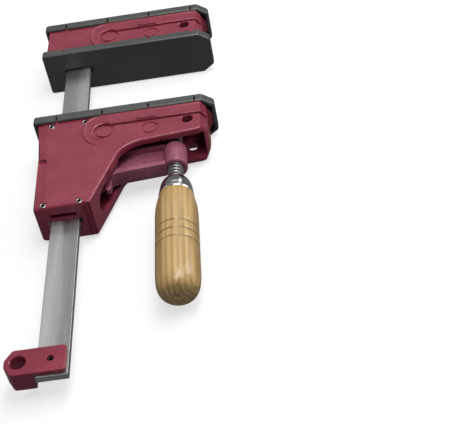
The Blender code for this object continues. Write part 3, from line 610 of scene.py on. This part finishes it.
# The raised band with its two rims
def makeBand(side, depthLimit):
    s, base = reliefSize, castingSize["half"]
    wide = s["outer"] - s["inner"]
    low, high, valley = base - s["sink"], base + s["height"], base + s["height"] - s["rimSink"]
    flat = 1 - 0.9 * s["sink"] / (s["height"] + s["sink"])
    profile = [(0, low, 0), (wide, low, 0), (wide, high, s["edge"]), (wide - s["rim"], high, 0.5),
        (wide - s["rim"] - s["rimSlope"], valley, 0.5), (s["lip"] + s["rimSlope"], valley, 0.5),
        (s["lip"], high, 0.5), (0, high - s["lipDrop"], 0.3)]
    return sweepRelief(side, profile, depthLimit, lambda z, share: low + (z - low) * (1 - share * flat))


# The gutter under the band
def makeGutter(side, depthLimit):
    s, base = reliefSize, castingSize["half"]
    low, high, far, near = base - s["gutterDepth"], base + 0.4, -s["gutter"], -s["gutterGap"]
    profile = [(far - 0.4, high, 0), (far, low, 0.5), (near, low, 0.3), (near, high, 0)]
    return sweepRelief(side, profile, depthLimit, lambda z, share: z + share * 4.5 * s["gutterDepth"])


def makeBoss(side, x, depth, radius, height, edge=0.28):
    base = castingSize["half"]
    low, high = sorted((side * (base - 1.5), side * (base + height)))
    bm = makeRound(x, -depth, radius, low, high, steps=64)
    return softenEdges(bm, edge, 3)


# A ring-shaped cutter on a flank
def makeRingTool(side, x, depth, inner, outer):
    base = castingSize["half"]
    low, high = sorted((side * (base - reliefSize["grooveDepth"]), side * (base + 1)))
    bm = bmesh.new()
    addOutline(bm, boxCorners(inner, outer, low, high, 0.3), "Y", 0, 4)
    bmesh.ops.delete(bm, geom=bm.faces[:], context="FACES_ONLY")
    spinAbout(bm, bm.verts[:] + bm.edges[:], "Z", 2 * math.pi, 64, merge=True)
    return weldAndMove(bm, (x, -depth, 0))


# A soft swelling on the band, cut off where the band ends
def makeMound(side):
    s = reliefSize
    bm = makeBoss(side, s["moundX"], s["moundDepth"], s["mound"], s["height"] + s["moundHeight"],
        s["moundEdge"])
    sliceOff(bm, (0, -s["drop"] + 0.8, 0), Vector((0, -1, 0)))
    return facesOut(bm)


def reliefSteps(depthLimit):
    s = reliefSize
    steps = []
    for side in (-1, 1):
        grooves = joinMeshes(makeRingTool(side, s["ringX"], s["ringDepth"], s["boss"] + 0.2, s["groove"]),
            makeRingTool(side, s["smallX"], s["smallDepth"], s["small"], s["smallGroove"]))
        steps.append(("UNION", makeBand(side, depthLimit)))
        steps.append(("UNION", makeMound(side)))
        steps.append(("DIFFERENCE", makeGutter(side, depthLimit)))
        steps.append(("UNION", makeBoss(side, s["ringX"], s["ringDepth"], s["boss"], s["bossHeight"])))
        steps.append(("DIFFERENCE", grooves))
    return steps


# The moving jaw's housing: hollow, open below, with a hatch in its sloped web

housingSize = {"depth": 127.5, "foot": 37.2, "rear": -12.3, "kneeX": -13.0, "kneeDepth": 57.0,
    "slopeTop": 64.5, "slopeTopDepth": 54.7, "tipDepth": 47.8, "throat": 28.0, "tipRound": 11.5,
    "footRound": 3.0, "footWall": 6.0, "webWall": 4.0, "legGap": 2.4, "slotHalf": 3.5,
    "footSlotInner": 6.4, "footSlotOuter": 10.8, "footSlotInset": 1.0, "pin": 3.3,
    "hatchHalf": 12.0, "hatchDepth": 114.0, "hatchMouth": 61.7, "grooveX": (32.3, 35.7),
    "grooveHalf": 1.65, "grooveDepth": 1.9, "gripTop": 61.5, "gripLength": 43.5, "gripRight": -3.9,
    "gripCut": 2.8, "slopeLineTop": -7.8, "slopeLineFoot": -1.5, "slopeRun": 10.8,
    "slopeDrop": 1.2, "bead": 0.75, "beadHeight": 0.3, "edge": 2.7}
guidePins = {"upper_rear": (-3.3, 14.2), "upper_front": (28.3, 14.2), "lower_rear": (-3.3, 123.5),
    "lower_front": (28.3, 123.5)}
hubShape = ((0, 6.8), (11, 6.8), (11, 20.2), (10.2, 21), (5.9, 21), (5.9, 12), (0, 12))


def slopeAt(depth):
    s = housingSize
    return s["foot"] + (s["depth"] - depth) * (s["slopeTop"] - s["foot"]) / (s["depth"] - s["slopeTopDepth"])


# Both flanks fall away to the rear from a line that slants down the jaw
def cutRearSlopes(bm):
    s, c = housingSize, castingSize
    for side in (-1, 1):
        along = Vector((s["slopeLineFoot"] - s["slopeLineTop"], c["waist"] - s["depth"], 0))
        across = Vector((-s["slopeRun"], 0, -side * s["slopeDrop"]))
        normal = along.cross(across)
        if normal.z * side < 0:
            normal.negate()
        sliceOff(bm, (s["slopeLineTop"], -c["waist"], side * c["half"]), normal)


def makeHousing():
    s, c = housingSize, castingSize
    outline = flangeCorners()
    outline += [(s["kneeX"], -s["kneeDepth"], 0), (s["rear"], -s["depth"], s["footRound"]),
        (s["foot"], -s["depth"], s["footRound"]), (s["slopeTop"], -s["slopeTopDepth"], s["throat"]),
        (c["tip"], -s["tipDepth"], s["tipRound"])]
    housing = newObject("jaw_housing", makeCastingSlab(outline, s["edge"], moreCuts=cutRearSlopes))
    floor = s["depth"] - s["footWall"]
    mouth = s["slopeTopDepth"] + s["throat"] / 2
    rear = s["rear"] + c["wall"]
    tip = c["tip"] - c["wall"]
    hollow = [(rear, -c["deck"], 2), (rear, -floor, 3), (slopeAt(floor) - s["webWall"], -floor, 3),
        (slopeAt(mouth) - s["webWall"], -mouth, 0.8), (slopeAt(mouth) + 3, -mouth, 0),
        (slopeAt(mouth) + 3, -s["depth"], 0), (tip, -s["depth"], 0), (tip, -c["deck"], 3)]
    cavity = makeSlab(hollow, -c["inside"], c["inside"], edge=1.2)
    width, gap, below = barSize["width"], s["legGap"], (-s["depth"] - 2, -floor + 2)
    barSlot = boxCorners(-gap, width + gap, -s["slotHalf"], s["slotHalf"], 0.8)
    slots = [makeSlab(barSlot, -c["deck"] - 2, 0, "Y"), makeSlab(barSlot, *below, "Y")]
    for side in (-1, 1):
        near, far = sorted((side * s["footSlotInner"], side * s["footSlotOuter"]))
        inset = s["footSlotInset"]
        slots.append(makeSlab(boxCorners(inset, width - inset, near, far, 0.9), *below, "Y"))
    half, mouth, end = s["hatchHalf"], -s["hatchMouth"], -s["hatchDepth"]
    hatch = makeSlab([(mouth, -half, 0), (mouth, half, 0), (end, half, half * 0.998),
        (end, -half, half * 0.998)], slopeAt(-end) - s["webWall"] - 2, s["slopeTop"] + 2, "X", steps=16)
    pins = [makeRound(x, -depth, s["pin"], -c["through"], c["through"]) for x, depth in guidePins.values()]
    grips, beads = [], []
    gripTop, gripFoot = -s["gripTop"], -s["gripTop"] - s["gripLength"]
    top, foot, half = s["slopeLineTop"], s["slopeLineFoot"], s["bead"]
    for side in (-1, 1):
        near, far = sorted((side * (c["half"] - s["gripCut"]), side * (c["half"] + 3)))
        grips.append(makeSlab([(c["rear"], gripTop, 0), (c["rear"], gripFoot, 0),
            (s["gripRight"], gripFoot, 3.6), (s["gripRight"], gripTop, 3.6)], near, far, edge=1.5))
        near, far = sorted((side * (c["half"] - 0.8), side * (c["half"] + s["beadHeight"])))
        beads.append(makeSlab([(top - half, -c["waist"] - 1, 0), (foot - half, -s["depth"] + 5, 0.6),
            (foot + half, -s["depth"] + 5, 0.6), (top + half, -c["waist"] - 1, 0)], near, far, edge=0.26))
    grooves = []
    half, deep, under = s["grooveHalf"], s["depth"] - s["grooveDepth"], -s["depth"] - 2
    for x in s["grooveX"]:
        grooves.append(makeSlab([(x - half, under, 0), (x - half, -s["depth"], 0), (x, -deep, 0.7),
            (x + half, -s["depth"], 0), (x + half, under, 0)], -c["through"], c["through"]))
    clipSlot = makeSlab(boxCorners(spindleX - 8.3, spindleX + 13, -8.3, 8.3), -18.5, -15.9, "Y")
    shapeWith(housing, ("DIFFERENCE", cavity), ("DIFFERENCE", joinMeshes(*slots)), ("DIFFERENCE", hatch),
        ("UNION", joinMeshes(*beads)), ("DIFFERENCE", joinMeshes(*grips)),
        ("DIFFERENCE", joinMeshes(*grooves)), ("UNION", makeTurned(hubShape, 64)),
        ("DIFFERENCE", clipSlot),
        *reliefSteps(s["depth"]), ("DIFFERENCE", joinMeshes(*pins)), *crossHole())
    return finishPiece(housing, jawFace["moving"], "moving_jaw", ["jaw_housing"], [jawPaint])


makeHousing()
print("housing made")


# The fixed jaw: a casting with ribs behind it, closed by the back pad

fixedSize = {"depth": 58.0, "socketLeft": 33.0, "rib": 3.0, "ribs": 2, "sideInner": 8.0, "pinX": (6.5, 18.5),
    "pinY": 7.9, "pin": 2.8, "socketTop": 45.7}


def makeFixedJaw():
    s, c = fixedSize, castingSize
    upper = flangeCorners()
    lower = [(x, -s["depth"] - y, radius) for x, y, radius in upper[::-1]]
    jaw = newObject("fixed_jaw", makeCastingSlab(upper + lower, c["edge"], s["depth"] - c["waist"]))
    floor = -(s["depth"] - c["deck"])
    pockets = []
    right = c["tip"] - c["wall"]
    bay = (right - s["socketLeft"] - s["rib"] * s["ribs"]) / (s["ribs"] + 1)
    for number in range(s["ribs"] + 1):
        start = s["socketLeft"] + (bay + s["rib"]) * number
        pockets.append(makeSlab(boxCorners(start, start + bay, floor, 2, 2), -c["inside"], c["inside"]))
    for side in (-1, 1):
        near, far = sorted((side * s["sideInner"], side * c["inside"]))
        pockets.append(makeSlab(boxCorners(-12.3, s["socketLeft"] - s["rib"], floor, 2, 2), near, far))
    socket = makeSlab(boxCorners(-0.3, 25.3, -s["depth"] - 2, -s["depth"] + s["socketTop"] + 0.6), -3.3, 3.3)
    pinHoles = [makeRound(x, s["pinY"] - s["depth"], s["pin"], -c["through"], c["through"])
        for x in s["pinX"]]
    shapeWith(jaw, ("DIFFERENCE", joinMeshes(*pockets)), ("DIFFERENCE", socket),
        *reliefSteps(s["depth"] - reliefSize["start"]), ("DIFFERENCE", joinMeshes(*pinHoles)),
        *crossHole())
    return finishPiece(jaw, jawFace["back"], "root", ["fixed_jaw"], [jawPaint])


makeFixedJaw()
print("fixed jaw made")


# The bar, with holes for its pins
def makeBar():
    s = barSize
    half = s["thick"] / 2
    bar = newObject("bar", makeSlab(boxCorners(0, s["width"], s["low"], s["high"]), -half, half,
        edge=s["edge"]))
    holes = [makeRound(x, fixedSize["pinY"], fixedSize["pin"], -6, 6) for x in fixedSize["pinX"]]
    holes.append(makeRound(*s["stopPin"], s["stopHole"], -6, 6))
    shapeWith(bar, ("DIFFERENCE", joinMeshes(*holes)))
    return finishPiece(bar, 0, "root", ["bar"], [barSteel])


makeBar()


# The end stop: a plate on the bar and a thick block beside it, bored to hang the clamp up

stopSize = {"left": -24.6, "right": 23.8, "low": -394.5, "high": -369.5, "corner": 3.4, "chamfer": 5.8,
    "chamferHeight": 9.2, "plateLow": 3.3, "plateHigh": 7.0, "blockLow": -11.5, "blockRight": -1.5,
    "holeX": -13.7, "hole": 6.25, "holeRim": 0.7, "edge": 1.0}


def makeStop():
    s = stopSize
    low, high = s["low"], s["high"]
    shoulder = s["left"] + s["chamfer"]
    rear = [(shoulder, high, s["corner"]), (s["left"], high - s["chamferHeight"], s["corner"]),
        (s["left"], low + s["chamferHeight"], s["corner"])]
    plate = [(shoulder, low, s["corner"]), (s["right"], low, s["corner"]),
        (s["right"], high, s["corner"])] + rear
    block = [(shoulder, low, s["corner"]), (s["blockRight"], low, 0), (s["blockRight"], high, 0)] + rear
    body = makeSlab(plate, s["plateLow"], s["plateHigh"])
    softenEdges(body, s["edge"], 3, choose=lambda e: all(v.co.z > s["plateHigh"] - 0.01 for v in e.verts))
    stop = newObject("end_stop", body)
    thick = makeSlab(block, s["blockLow"], s["plateLow"] + s["edge"])
    softenEdges(thick, s["edge"], 3, choose=lambda e: all(v.co.z < s["blockLow"] + 0.01 for v in e.verts))
    middle = (low + high) / 2
    # A hair smaller than the plate, so that no faces coincide
    bmesh.ops.scale(thick, vec=(0.999, 0.999, 1), verts=thick.verts,
        space=Matrix.Translation((-s["blockRight"], -middle, 0)))
    hole = makeRound(s["holeX"], middle, s["hole"], -14, 10, steps=64)
    pinHole = makeRound(*barSize["stopPin"], barSize["stopHole"], 0, 10)
    rim = makeRimTool(s["holeX"], middle, s["plateHigh"], 1, s["hole"], s["holeRim"])
    shapeWith(stop, ("UNION", thick), ("DIFFERENCE", hole), ("DIFFERENCE", rim), ("DIFFERENCE", pinHole))
    return finishPiece(stop, 0, "root", ["end_stop"], [jawPaint])


makeStop()
print("bar and stop made")


# Slotted spring pins: a rounded wall profile swept most of the way round

pinShape = {"wall": 0.42, "slit": 0.32, "edge": 0.4, "steps": 40}


def makeSpringPin(name, body, x, y, radius, low, high, face, slitTurn=0.0, finish=pinSteel):
    s = pinShape
    bore, inner, outer = radius * (1 - s["wall"]), s["edge"], s["edge"] * 1.4
    bm = bmesh.new()
    addOutline(bm, [(bore, low, inner), (radius, low, outer), (radius, high, outer), (bore, high, inner)],
        "Y", 0, 4)
    bmesh.ops.rotate(bm, verts=bm.verts, cent=(0, 0, 0),
        matrix=Matrix.Rotation(slitTurn + s["slit"] / 2, 3, "Z"))
    spinAbout(bm, bm.faces[:], "Z", 2 * math.pi - s["slit"], s["steps"])
    weldAndMove(bm, (x, y, 0))
    return finishPiece(newObject(name, bm), face, body, [name], [finish])


for word, (pinX, pinDepth) in guidePins.items():
    makeSpringPin("guide_pin_" + word, "moving_jaw", pinX, -pinDepth, 3.0, -19.7, 19.7, jawFace["moving"],
        math.pi / 2)
for word, pinX in zip(("rear", "front"), fixedSize["pinX"]):
    makeSpringPin("jaw_pin_" + word, "root", pinX, fixedSize["pinY"], 2.5, -19.7, 19.7, 0)
makeSpringPin("stop_pin", "root", *barSize["stopPin"], 2.5, -3.3, 5.8, 0, finish=recessShadedSteel)
print("pins made")


# The sliding arm: a yoke round the bar, an I-section beam and the nut boss

armSize = {"rear": -7.5, "front": 38.0, "top": 34.0, "bottom": 90.0, "yokeHalf": 11.0, "slotHalf": 3.4,
    "beamRoot": 40.5, "root": 56.0, "beamTop": 47.0, "bottomRoot": 79.4, "bottomTip": 76.0,
    "draft": (1.2, 0.4), "flangeHalf": 7.5, "webHalf": 2.0, "flange": 5.0, "nut": 11.0, "nutTop": 46.8,
    "nutBottom": 76.5, "lugHalf": 2.9, "lugLeft": 45.8, "lugWidth": 6.0, "lugDepth": 95.6, "edge": 1.2,
    "springPocket": (7.7, 17.3, -76.3, -47.7), "lockPins": ((27.8, -38.5), (-2.8, -85.5)), "lockPin": 2.8}


# Cut the beam's pockets before it joins the yoke
def shapeBeam(beam, pockets):
    carrier = shapeWith(newObject("beam", beam), ("DIFFERENCE", pockets))
    bm = bmesh.new()
    bm.from_mesh(carrier.data)
    removeObject(carrier)
    return bm


def makeArm():
    s = armSize
    yoke = makeSlab(boxCorners(s["rear"], s["front"], -s["bottom"], -s["top"], 3), -s["yokeHalf"],
        s["yokeHalf"], edge=s["edge"])
    arm = newObject("sliding_arm", yoke)
    half, root, beamTop = s["flangeHalf"], s["root"], -s["beamTop"]
    tip = spindleX - math.sqrt(s["nut"] ** 2 - half ** 2)
    beam = makeSlab([(s["beamRoot"], -s["top"] - 2, 0), (root, beamTop, 6), (tip, beamTop, 0),
        (tip, -s["bottomTip"], 0), (root, -s["bottomRoot"], 6), (s["beamRoot"], -s["bottom"] + 2, 0)],
        -half, half)
    softenEdges(beam, s["edge"], 4, choose=lambda e: all(abs(v.co.z) > half - 0.01 for v in e.verts))
    bmesh.ops.bisect_plane(beam, geom=beam.verts[:] + beam.edges[:] + beam.faces[:], dist=1e-5,
        plane_co=(0, 0, 0), plane_no=(0, 0, 1))
    for vert in beam.verts:
        if abs(vert.co.z) < 1e-3 and vert.co.y < 1 - s["bottomTip"]:
            vert.co.y -= s["draft"][vert.co.x > tip - 1]
    pockets = []
    end, high = tip + 4, beamTop - s["flange"]
    for side in (-1, 1):
        near, far = sorted((side * s["webHalf"], side * (half + 3)))
        pockets.append(makeSlab([(root, high, 2.5), (end, high, 0), (end, -s["bottomTip"] + s["flange"], 0),
            (root, -s["bottomRoot"] + s["flange"], 2.5)], near, far, edge=0.8))
    left, high, low = s["lugLeft"], -s["bottomRoot"] + 2, -s["lugDepth"]
    right = left + s["lugWidth"]
    lug = makeSlab([(left, high, 0), (left, low, 2.95), (right, low, 2.95), (right, high, 0)],
        -s["lugHalf"], s["lugHalf"], edge=1.0, segments=4)
    top, foot = s["nutTop"], s["nutBottom"]
    nut = makeTurned([(7.3, top), (8.6, top), (8.6, top + 2.6), (9.8, top + 2.8), (10.6, top + 3.4),
        (11, top + 4.6), (11, foot - 2.0), (10.82, foot - 1.15), (10.3, foot - 0.4), (9.5, foot),
        (7.9, foot), (7.3, foot - 0.6)], closed=True)
    slot = makeSlab(boxCorners(-0.4, 25.4, -s["bottom"] - 2, -s["top"] + 2), -s["slotHalf"], s["slotHalf"])
    pocket = makeSlab(boxCorners(*s["springPocket"]), 0, 5.6)
    pinHoles = [makeRound(*place, s["lockPin"], -14, 14) for place in s["lockPins"]]
    shapeWith(arm, ("DIFFERENCE", slot), ("DIFFERENCE", pocket), ("DIFFERENCE", joinMeshes(*pinHoles)),
        ("UNION", shapeBeam(beam, joinMeshes(*pockets))), ("UNION", lug), ("UNION", nut))
    return finishPiece(arm, jawFace["moving"], "sliding_arm", ["sliding_arm"], [armPaint])


makeArm()
print("arm made")


# The spindle: a captive tip, a rolled thread and the tang inside the handle

threadSize = {"crest": 7.0, "root": 5.35, "pitch": 4.0, "start": 26.0, "end": 95.4, "steps": 48}
tipShape = ((0, 14.6), (4.6, 14.6), (5, 15.0), (5, 15.9), (3.4, 15.9), (3.4, 18.5), (5, 18.5), (5, 27),
    (0, 27))
shankShape = ((0, 93.0), (6.5, 93.0), (7.04, 93.5), (7.04, 97), (5, 97), (5, 185.6), (4.6, 186), (0, 186))


def makeThread():
    s = threadSize
    root, crest, pitch = s["root"], s["crest"], s["pitch"]
    bm = bmesh.new()
    profile = [(root, 0), (root, 0.22), (crest - 0.15, 0.40), (crest, 0.46), (crest, 0.62),
        (crest - 0.15, 0.68), (root, 0.86), (root, 1)]
    first = s["start"] - 2 * pitch
    verts = [bm.verts.new((radius, -first - share * pitch, 0)) for radius, share in profile]
    edges = [bm.edges.new(pair) for pair in zip(verts, verts[1:])]
    turns = math.ceil((s["end"] - s["start"]) / pitch) + 3
    spinAbout(bm, verts + edges, "Y", 2 * math.pi * turns, s["steps"] * turns, rise=-pitch / s["steps"])
    bmesh.ops.remove_doubles(bm, verts=bm.verts, dist=1e-3)
    for depth, outward in ((s["start"], 1), (s["end"], -1)):
        bmesh.ops.holes_fill(bm, edges=cutAway(bm, (0, -depth, 0), (0, outward, 0)))
    bmesh.ops.translate(facesOut(bm), verts=bm.verts, vec=(spindleX, 0, 0))
    return bm


def makeSpindle():
    spindle = newObject("spindle", makeThread())
    shapeWith(spindle, ("UNION", makeTurned(tipShape, 64)), ("UNION", makeTurned(shankShape)))
    return finishPiece(spindle, jawFace["moving"], "spindle", ["spindle"], [spindleSteel],
        smoothAngle=32, weighted=False)


makeSpindle()


# The ferrule: a spun cup with a rolled rim, its shapes in shares of its radius and length

ferruleSize = {"top": 95.5, "length": 20.0, "radius": 15.6, "wall": 1.2, "hole": 7.3}
ferruleShape = ((0.60, 0.0), (0.665, 0.012), (0.74, 0.075), (0.80, 0.15), (0.865, 0.27), (0.915, 0.42),
    (0.95, 0.60), (0.97, 0.78))
rimShape = ((0.985, 0.845), (0.996, 0.875), (1.0, 0.92), (0.996, 0.965), (0.98, 0.995), (0.955, 1.0))


def scaled(shape, size):
    return [(size["radius"] * wide, size["top"] + size["length"] * along) for wide, along in shape]


def makeFerrule():
    s = ferruleSize
    top, wall, hole = s["top"], s["wall"], s["hole"]
    bell = smoothLine(scaled(ferruleShape, s), 5)
    inner = [(across - wall, max(depth, top + wall)) for across, depth in bell]
    inner = [point for i, point in enumerate(inner) if i == 0 or point[1] > inner[i - 1][1] + 1e-3]
    foot = (s["radius"] - wall * 1.4, top + s["length"])
    profile = [(hole, top + 0.3), (hole + 0.3, top)] + bell + scaled(rimShape, s) + [foot] + inner[::-1]
    ferrule = newObject("ferrule", makeTurned(profile + [(hole, top + wall)], 128, closed=True))
    return finishPiece(ferrule, jawFace["moving"], "spindle", ["ferrule"], [ferruleChrome],
        smoothAngle=45, weighted=False)


makeFerrule()


# The handle: turned, with a nose inside the ferrule and three burned grooves

handleSize = {"top": 115.8, "length": 116.5, "radius": 18.7, "bore": 5.3, "boreEnd": 186.3, "dimple": 1.7,
    "tail": 0.2}
handleRings = {"middle": 0.478, "step": 9.6, "width": 1.6, "depth": 0.5, "count": 3}
handleShape = ((0.835, 0.0), (0.885, 0.045), (0.945, 0.10), (0.985, 0.155), (1.0, 0.22), (1.0, 0.34),
    (1.0, 0.70), (0.998, 0.80), (0.985, 0.86), (0.945, 0.91), (0.86, 0.95), (0.72, 0.978),
    (0.50, 0.994), (0.26, 1.0), (0.12, 1.0))
noseShape = ((0.50, 0.21), (0.68, 0.35), (0.80, 0.55), (0.86, 0.80))
grooveShape = ((-1.25, 0.0), (-0.9, 0.12), (-0.45, 0.75), (0, 1.0), (0.45, 0.75), (0.9, 0.12), (1.25, 0.0))
handleMiddle = handleSize["top"] + handleSize["length"] * handleRings["middle"]
ringDepths = [handleMiddle + handleRings["step"] * (number - 1) for number in range(handleRings["count"])]


def makeHandle():
    s, r = handleSize, handleRings
    bore, half, end = s["bore"], r["width"] / 2, s["top"] + s["length"]
    nose = scaled(noseShape, ferruleSize)
    nose = [(bore, nose[0][1])] + nose + [(nose[-1][0], s["top"] - 0.05)]
    body = smoothLine(scaled(handleShape, s), 5)
    for depth in ringDepths:
        body = [point for point in body if abs(point[1] - depth) > half + 0.4]
        body += [(s["radius"] - r["depth"] * sink, depth + half * share) for share, sink in grooveShape]
    tailStart = end - s["length"] * s["tail"]
    grip = sorted((point for point in body if point[1] < tailStart), key=lambda point: point[1])
    tail = [point for point in body if point[1] >= tailStart]
    tail += [(s["dimple"] * 1.2, end - 0.12), (s["dimple"] * 0.8, end - 1.0), (0, end - 1.3)]
    profile = [(0, s["boreEnd"]), (bore, s["boreEnd"])] + nose + grip + tail
    wood = varnishedWood([clampOrigin.y + (jawFace["moving"] - depth) * millimetre for depth in ringDepths])
    handle = newObject("handle", makeTurned(profile, 128))
    return finishPiece(handle, jawFace["moving"], "spindle", ["handle"], [wood],
        smoothAngle=50, weighted=False)


makeHandle()
print("spindle, ferrule and handle made")


# Inner pieces keep their solids and get a finish
innerFinish = {"lock_pin_front": pinSteel, "lock_pin_rear": pinSteel, "drag_spring": springSteel,
    "thrust_disc": pinSteel, "spindle_clip": springSteel}
for node, finish in innerFinish.items():
    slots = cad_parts[node].data.materials
    if slots:
        for index in range(len(slots)):
            slots[index] = finish
    else:
        slots.append(finish)
print("inner pieces finished")


# Floor, light and camera

studio = {"floorSize": 9.0, "floorDrop": 0.0006, "floorTone": 0.36, "floorGlow": 0.66,
    "worldTone": (0.97, 0.98, 1.0), "worldStrength": 0.16}
# Each light's place, aim, size and power
softLights = {
    "overhead": ((0.42, 0.10, 1.45), (0.02, 0, 0.02), (1.4, 0.95), 11),
    "strip": ((0.25, -0.08, 1.40), (0.05, 0, 0.02), (1.5, 0.24), 8.5),
    "backPanel": ((-0.08, 1.50, 1.33), (0, 0, 0.02), (1.5, 0.75), 1.9),
    "side": ((1.15, 0.60, 0.68), (0, -0.05, 0.02), (0.6, 0.8), 6.2),
    "rightWindow": ((0.65, 1.50, 1.15), (0.05, 0, 0.02), (0.30, 1.2), 2.2),
    "leftWindow": ((-1.25, 1.30, 0.95), (0.05, 0, 0.02), (0.7, 0.9), 1.1),
}


def makeStudio():
    bm = bmesh.new()
    bmesh.ops.create_grid(bm, x_segments=2, y_segments=2, size=studio["floorSize"] / 2,
        matrix=Matrix.Translation((0, 0, -studio["floorDrop"])))
    floor = newObject("floor", bm)
    finish = newFinish("floorPaper", {"Roughness": 0.9, "Specular IOR Level": 0.1,
        "Emission Color": (1, 1, 1, 1), "Emission Strength": studio["floorGlow"]})
    fibre = addNoise(finish, patternSpace(finish), 60, 3, 0.6)
    tone = studio["floorTone"]
    dress(finish, {"Base Color": addRamp(finish, fibre, [(0.3, (tone,) * 3), (0.7, (tone + 0.02,) * 3)])})
    floor.visible_diffuse = False
    floor.visible_glossy = False
    floor.data.materials.append(finish)
    for name, (place, aim, size, power) in softLights.items():
        data = bpy.data.lights.new(name, "AREA")
        data.shape = "RECTANGLE"
        data.size, data.size_y = size
        data.energy = power
        light = bpy.data.objects.new(name, data)
        bpy.context.scene.collection.objects.link(light)
        light.location = place
        light.rotation_euler = (Vector(aim) - Vector(place)).to_track_quat("-Z", "Y").to_euler()
    world = bpy.data.worlds.new("studio")
    world.use_nodes = True
    background = world.node_tree.nodes["Background"]
    background.inputs["Color"].default_value = (*studio["worldTone"], 1)
    background.inputs["Strength"].default_value = studio["worldStrength"]
    bpy.context.scene.world = world
    bpy.context.scene.view_settings.view_transform = "Standard"


makeStudio()

cameraPlace = Vector((0.14751, -0.75727, 0.650))
cameraAxes = ((0.9888, -0.0551, -0.1384), (0.1399, 0.6638, 0.7347), (0.0514, -0.7458, 0.6641))
cameraData = bpy.data.cameras.new("camera")
cameraData.sensor_width = 36
cameraData.lens = 84.255
cameraData.shift_x = -0.00255
cameraData.shift_y = -0.0340
camera = bpy.data.objects.new("camera", cameraData)
bpy.context.scene.collection.objects.link(camera)
camera.matrix_world = Matrix.Translation(cameraPlace) @ Matrix(cameraAxes).transposed().to_4x4()
bpy.context.scene.camera = camera
print("studio and camera made")
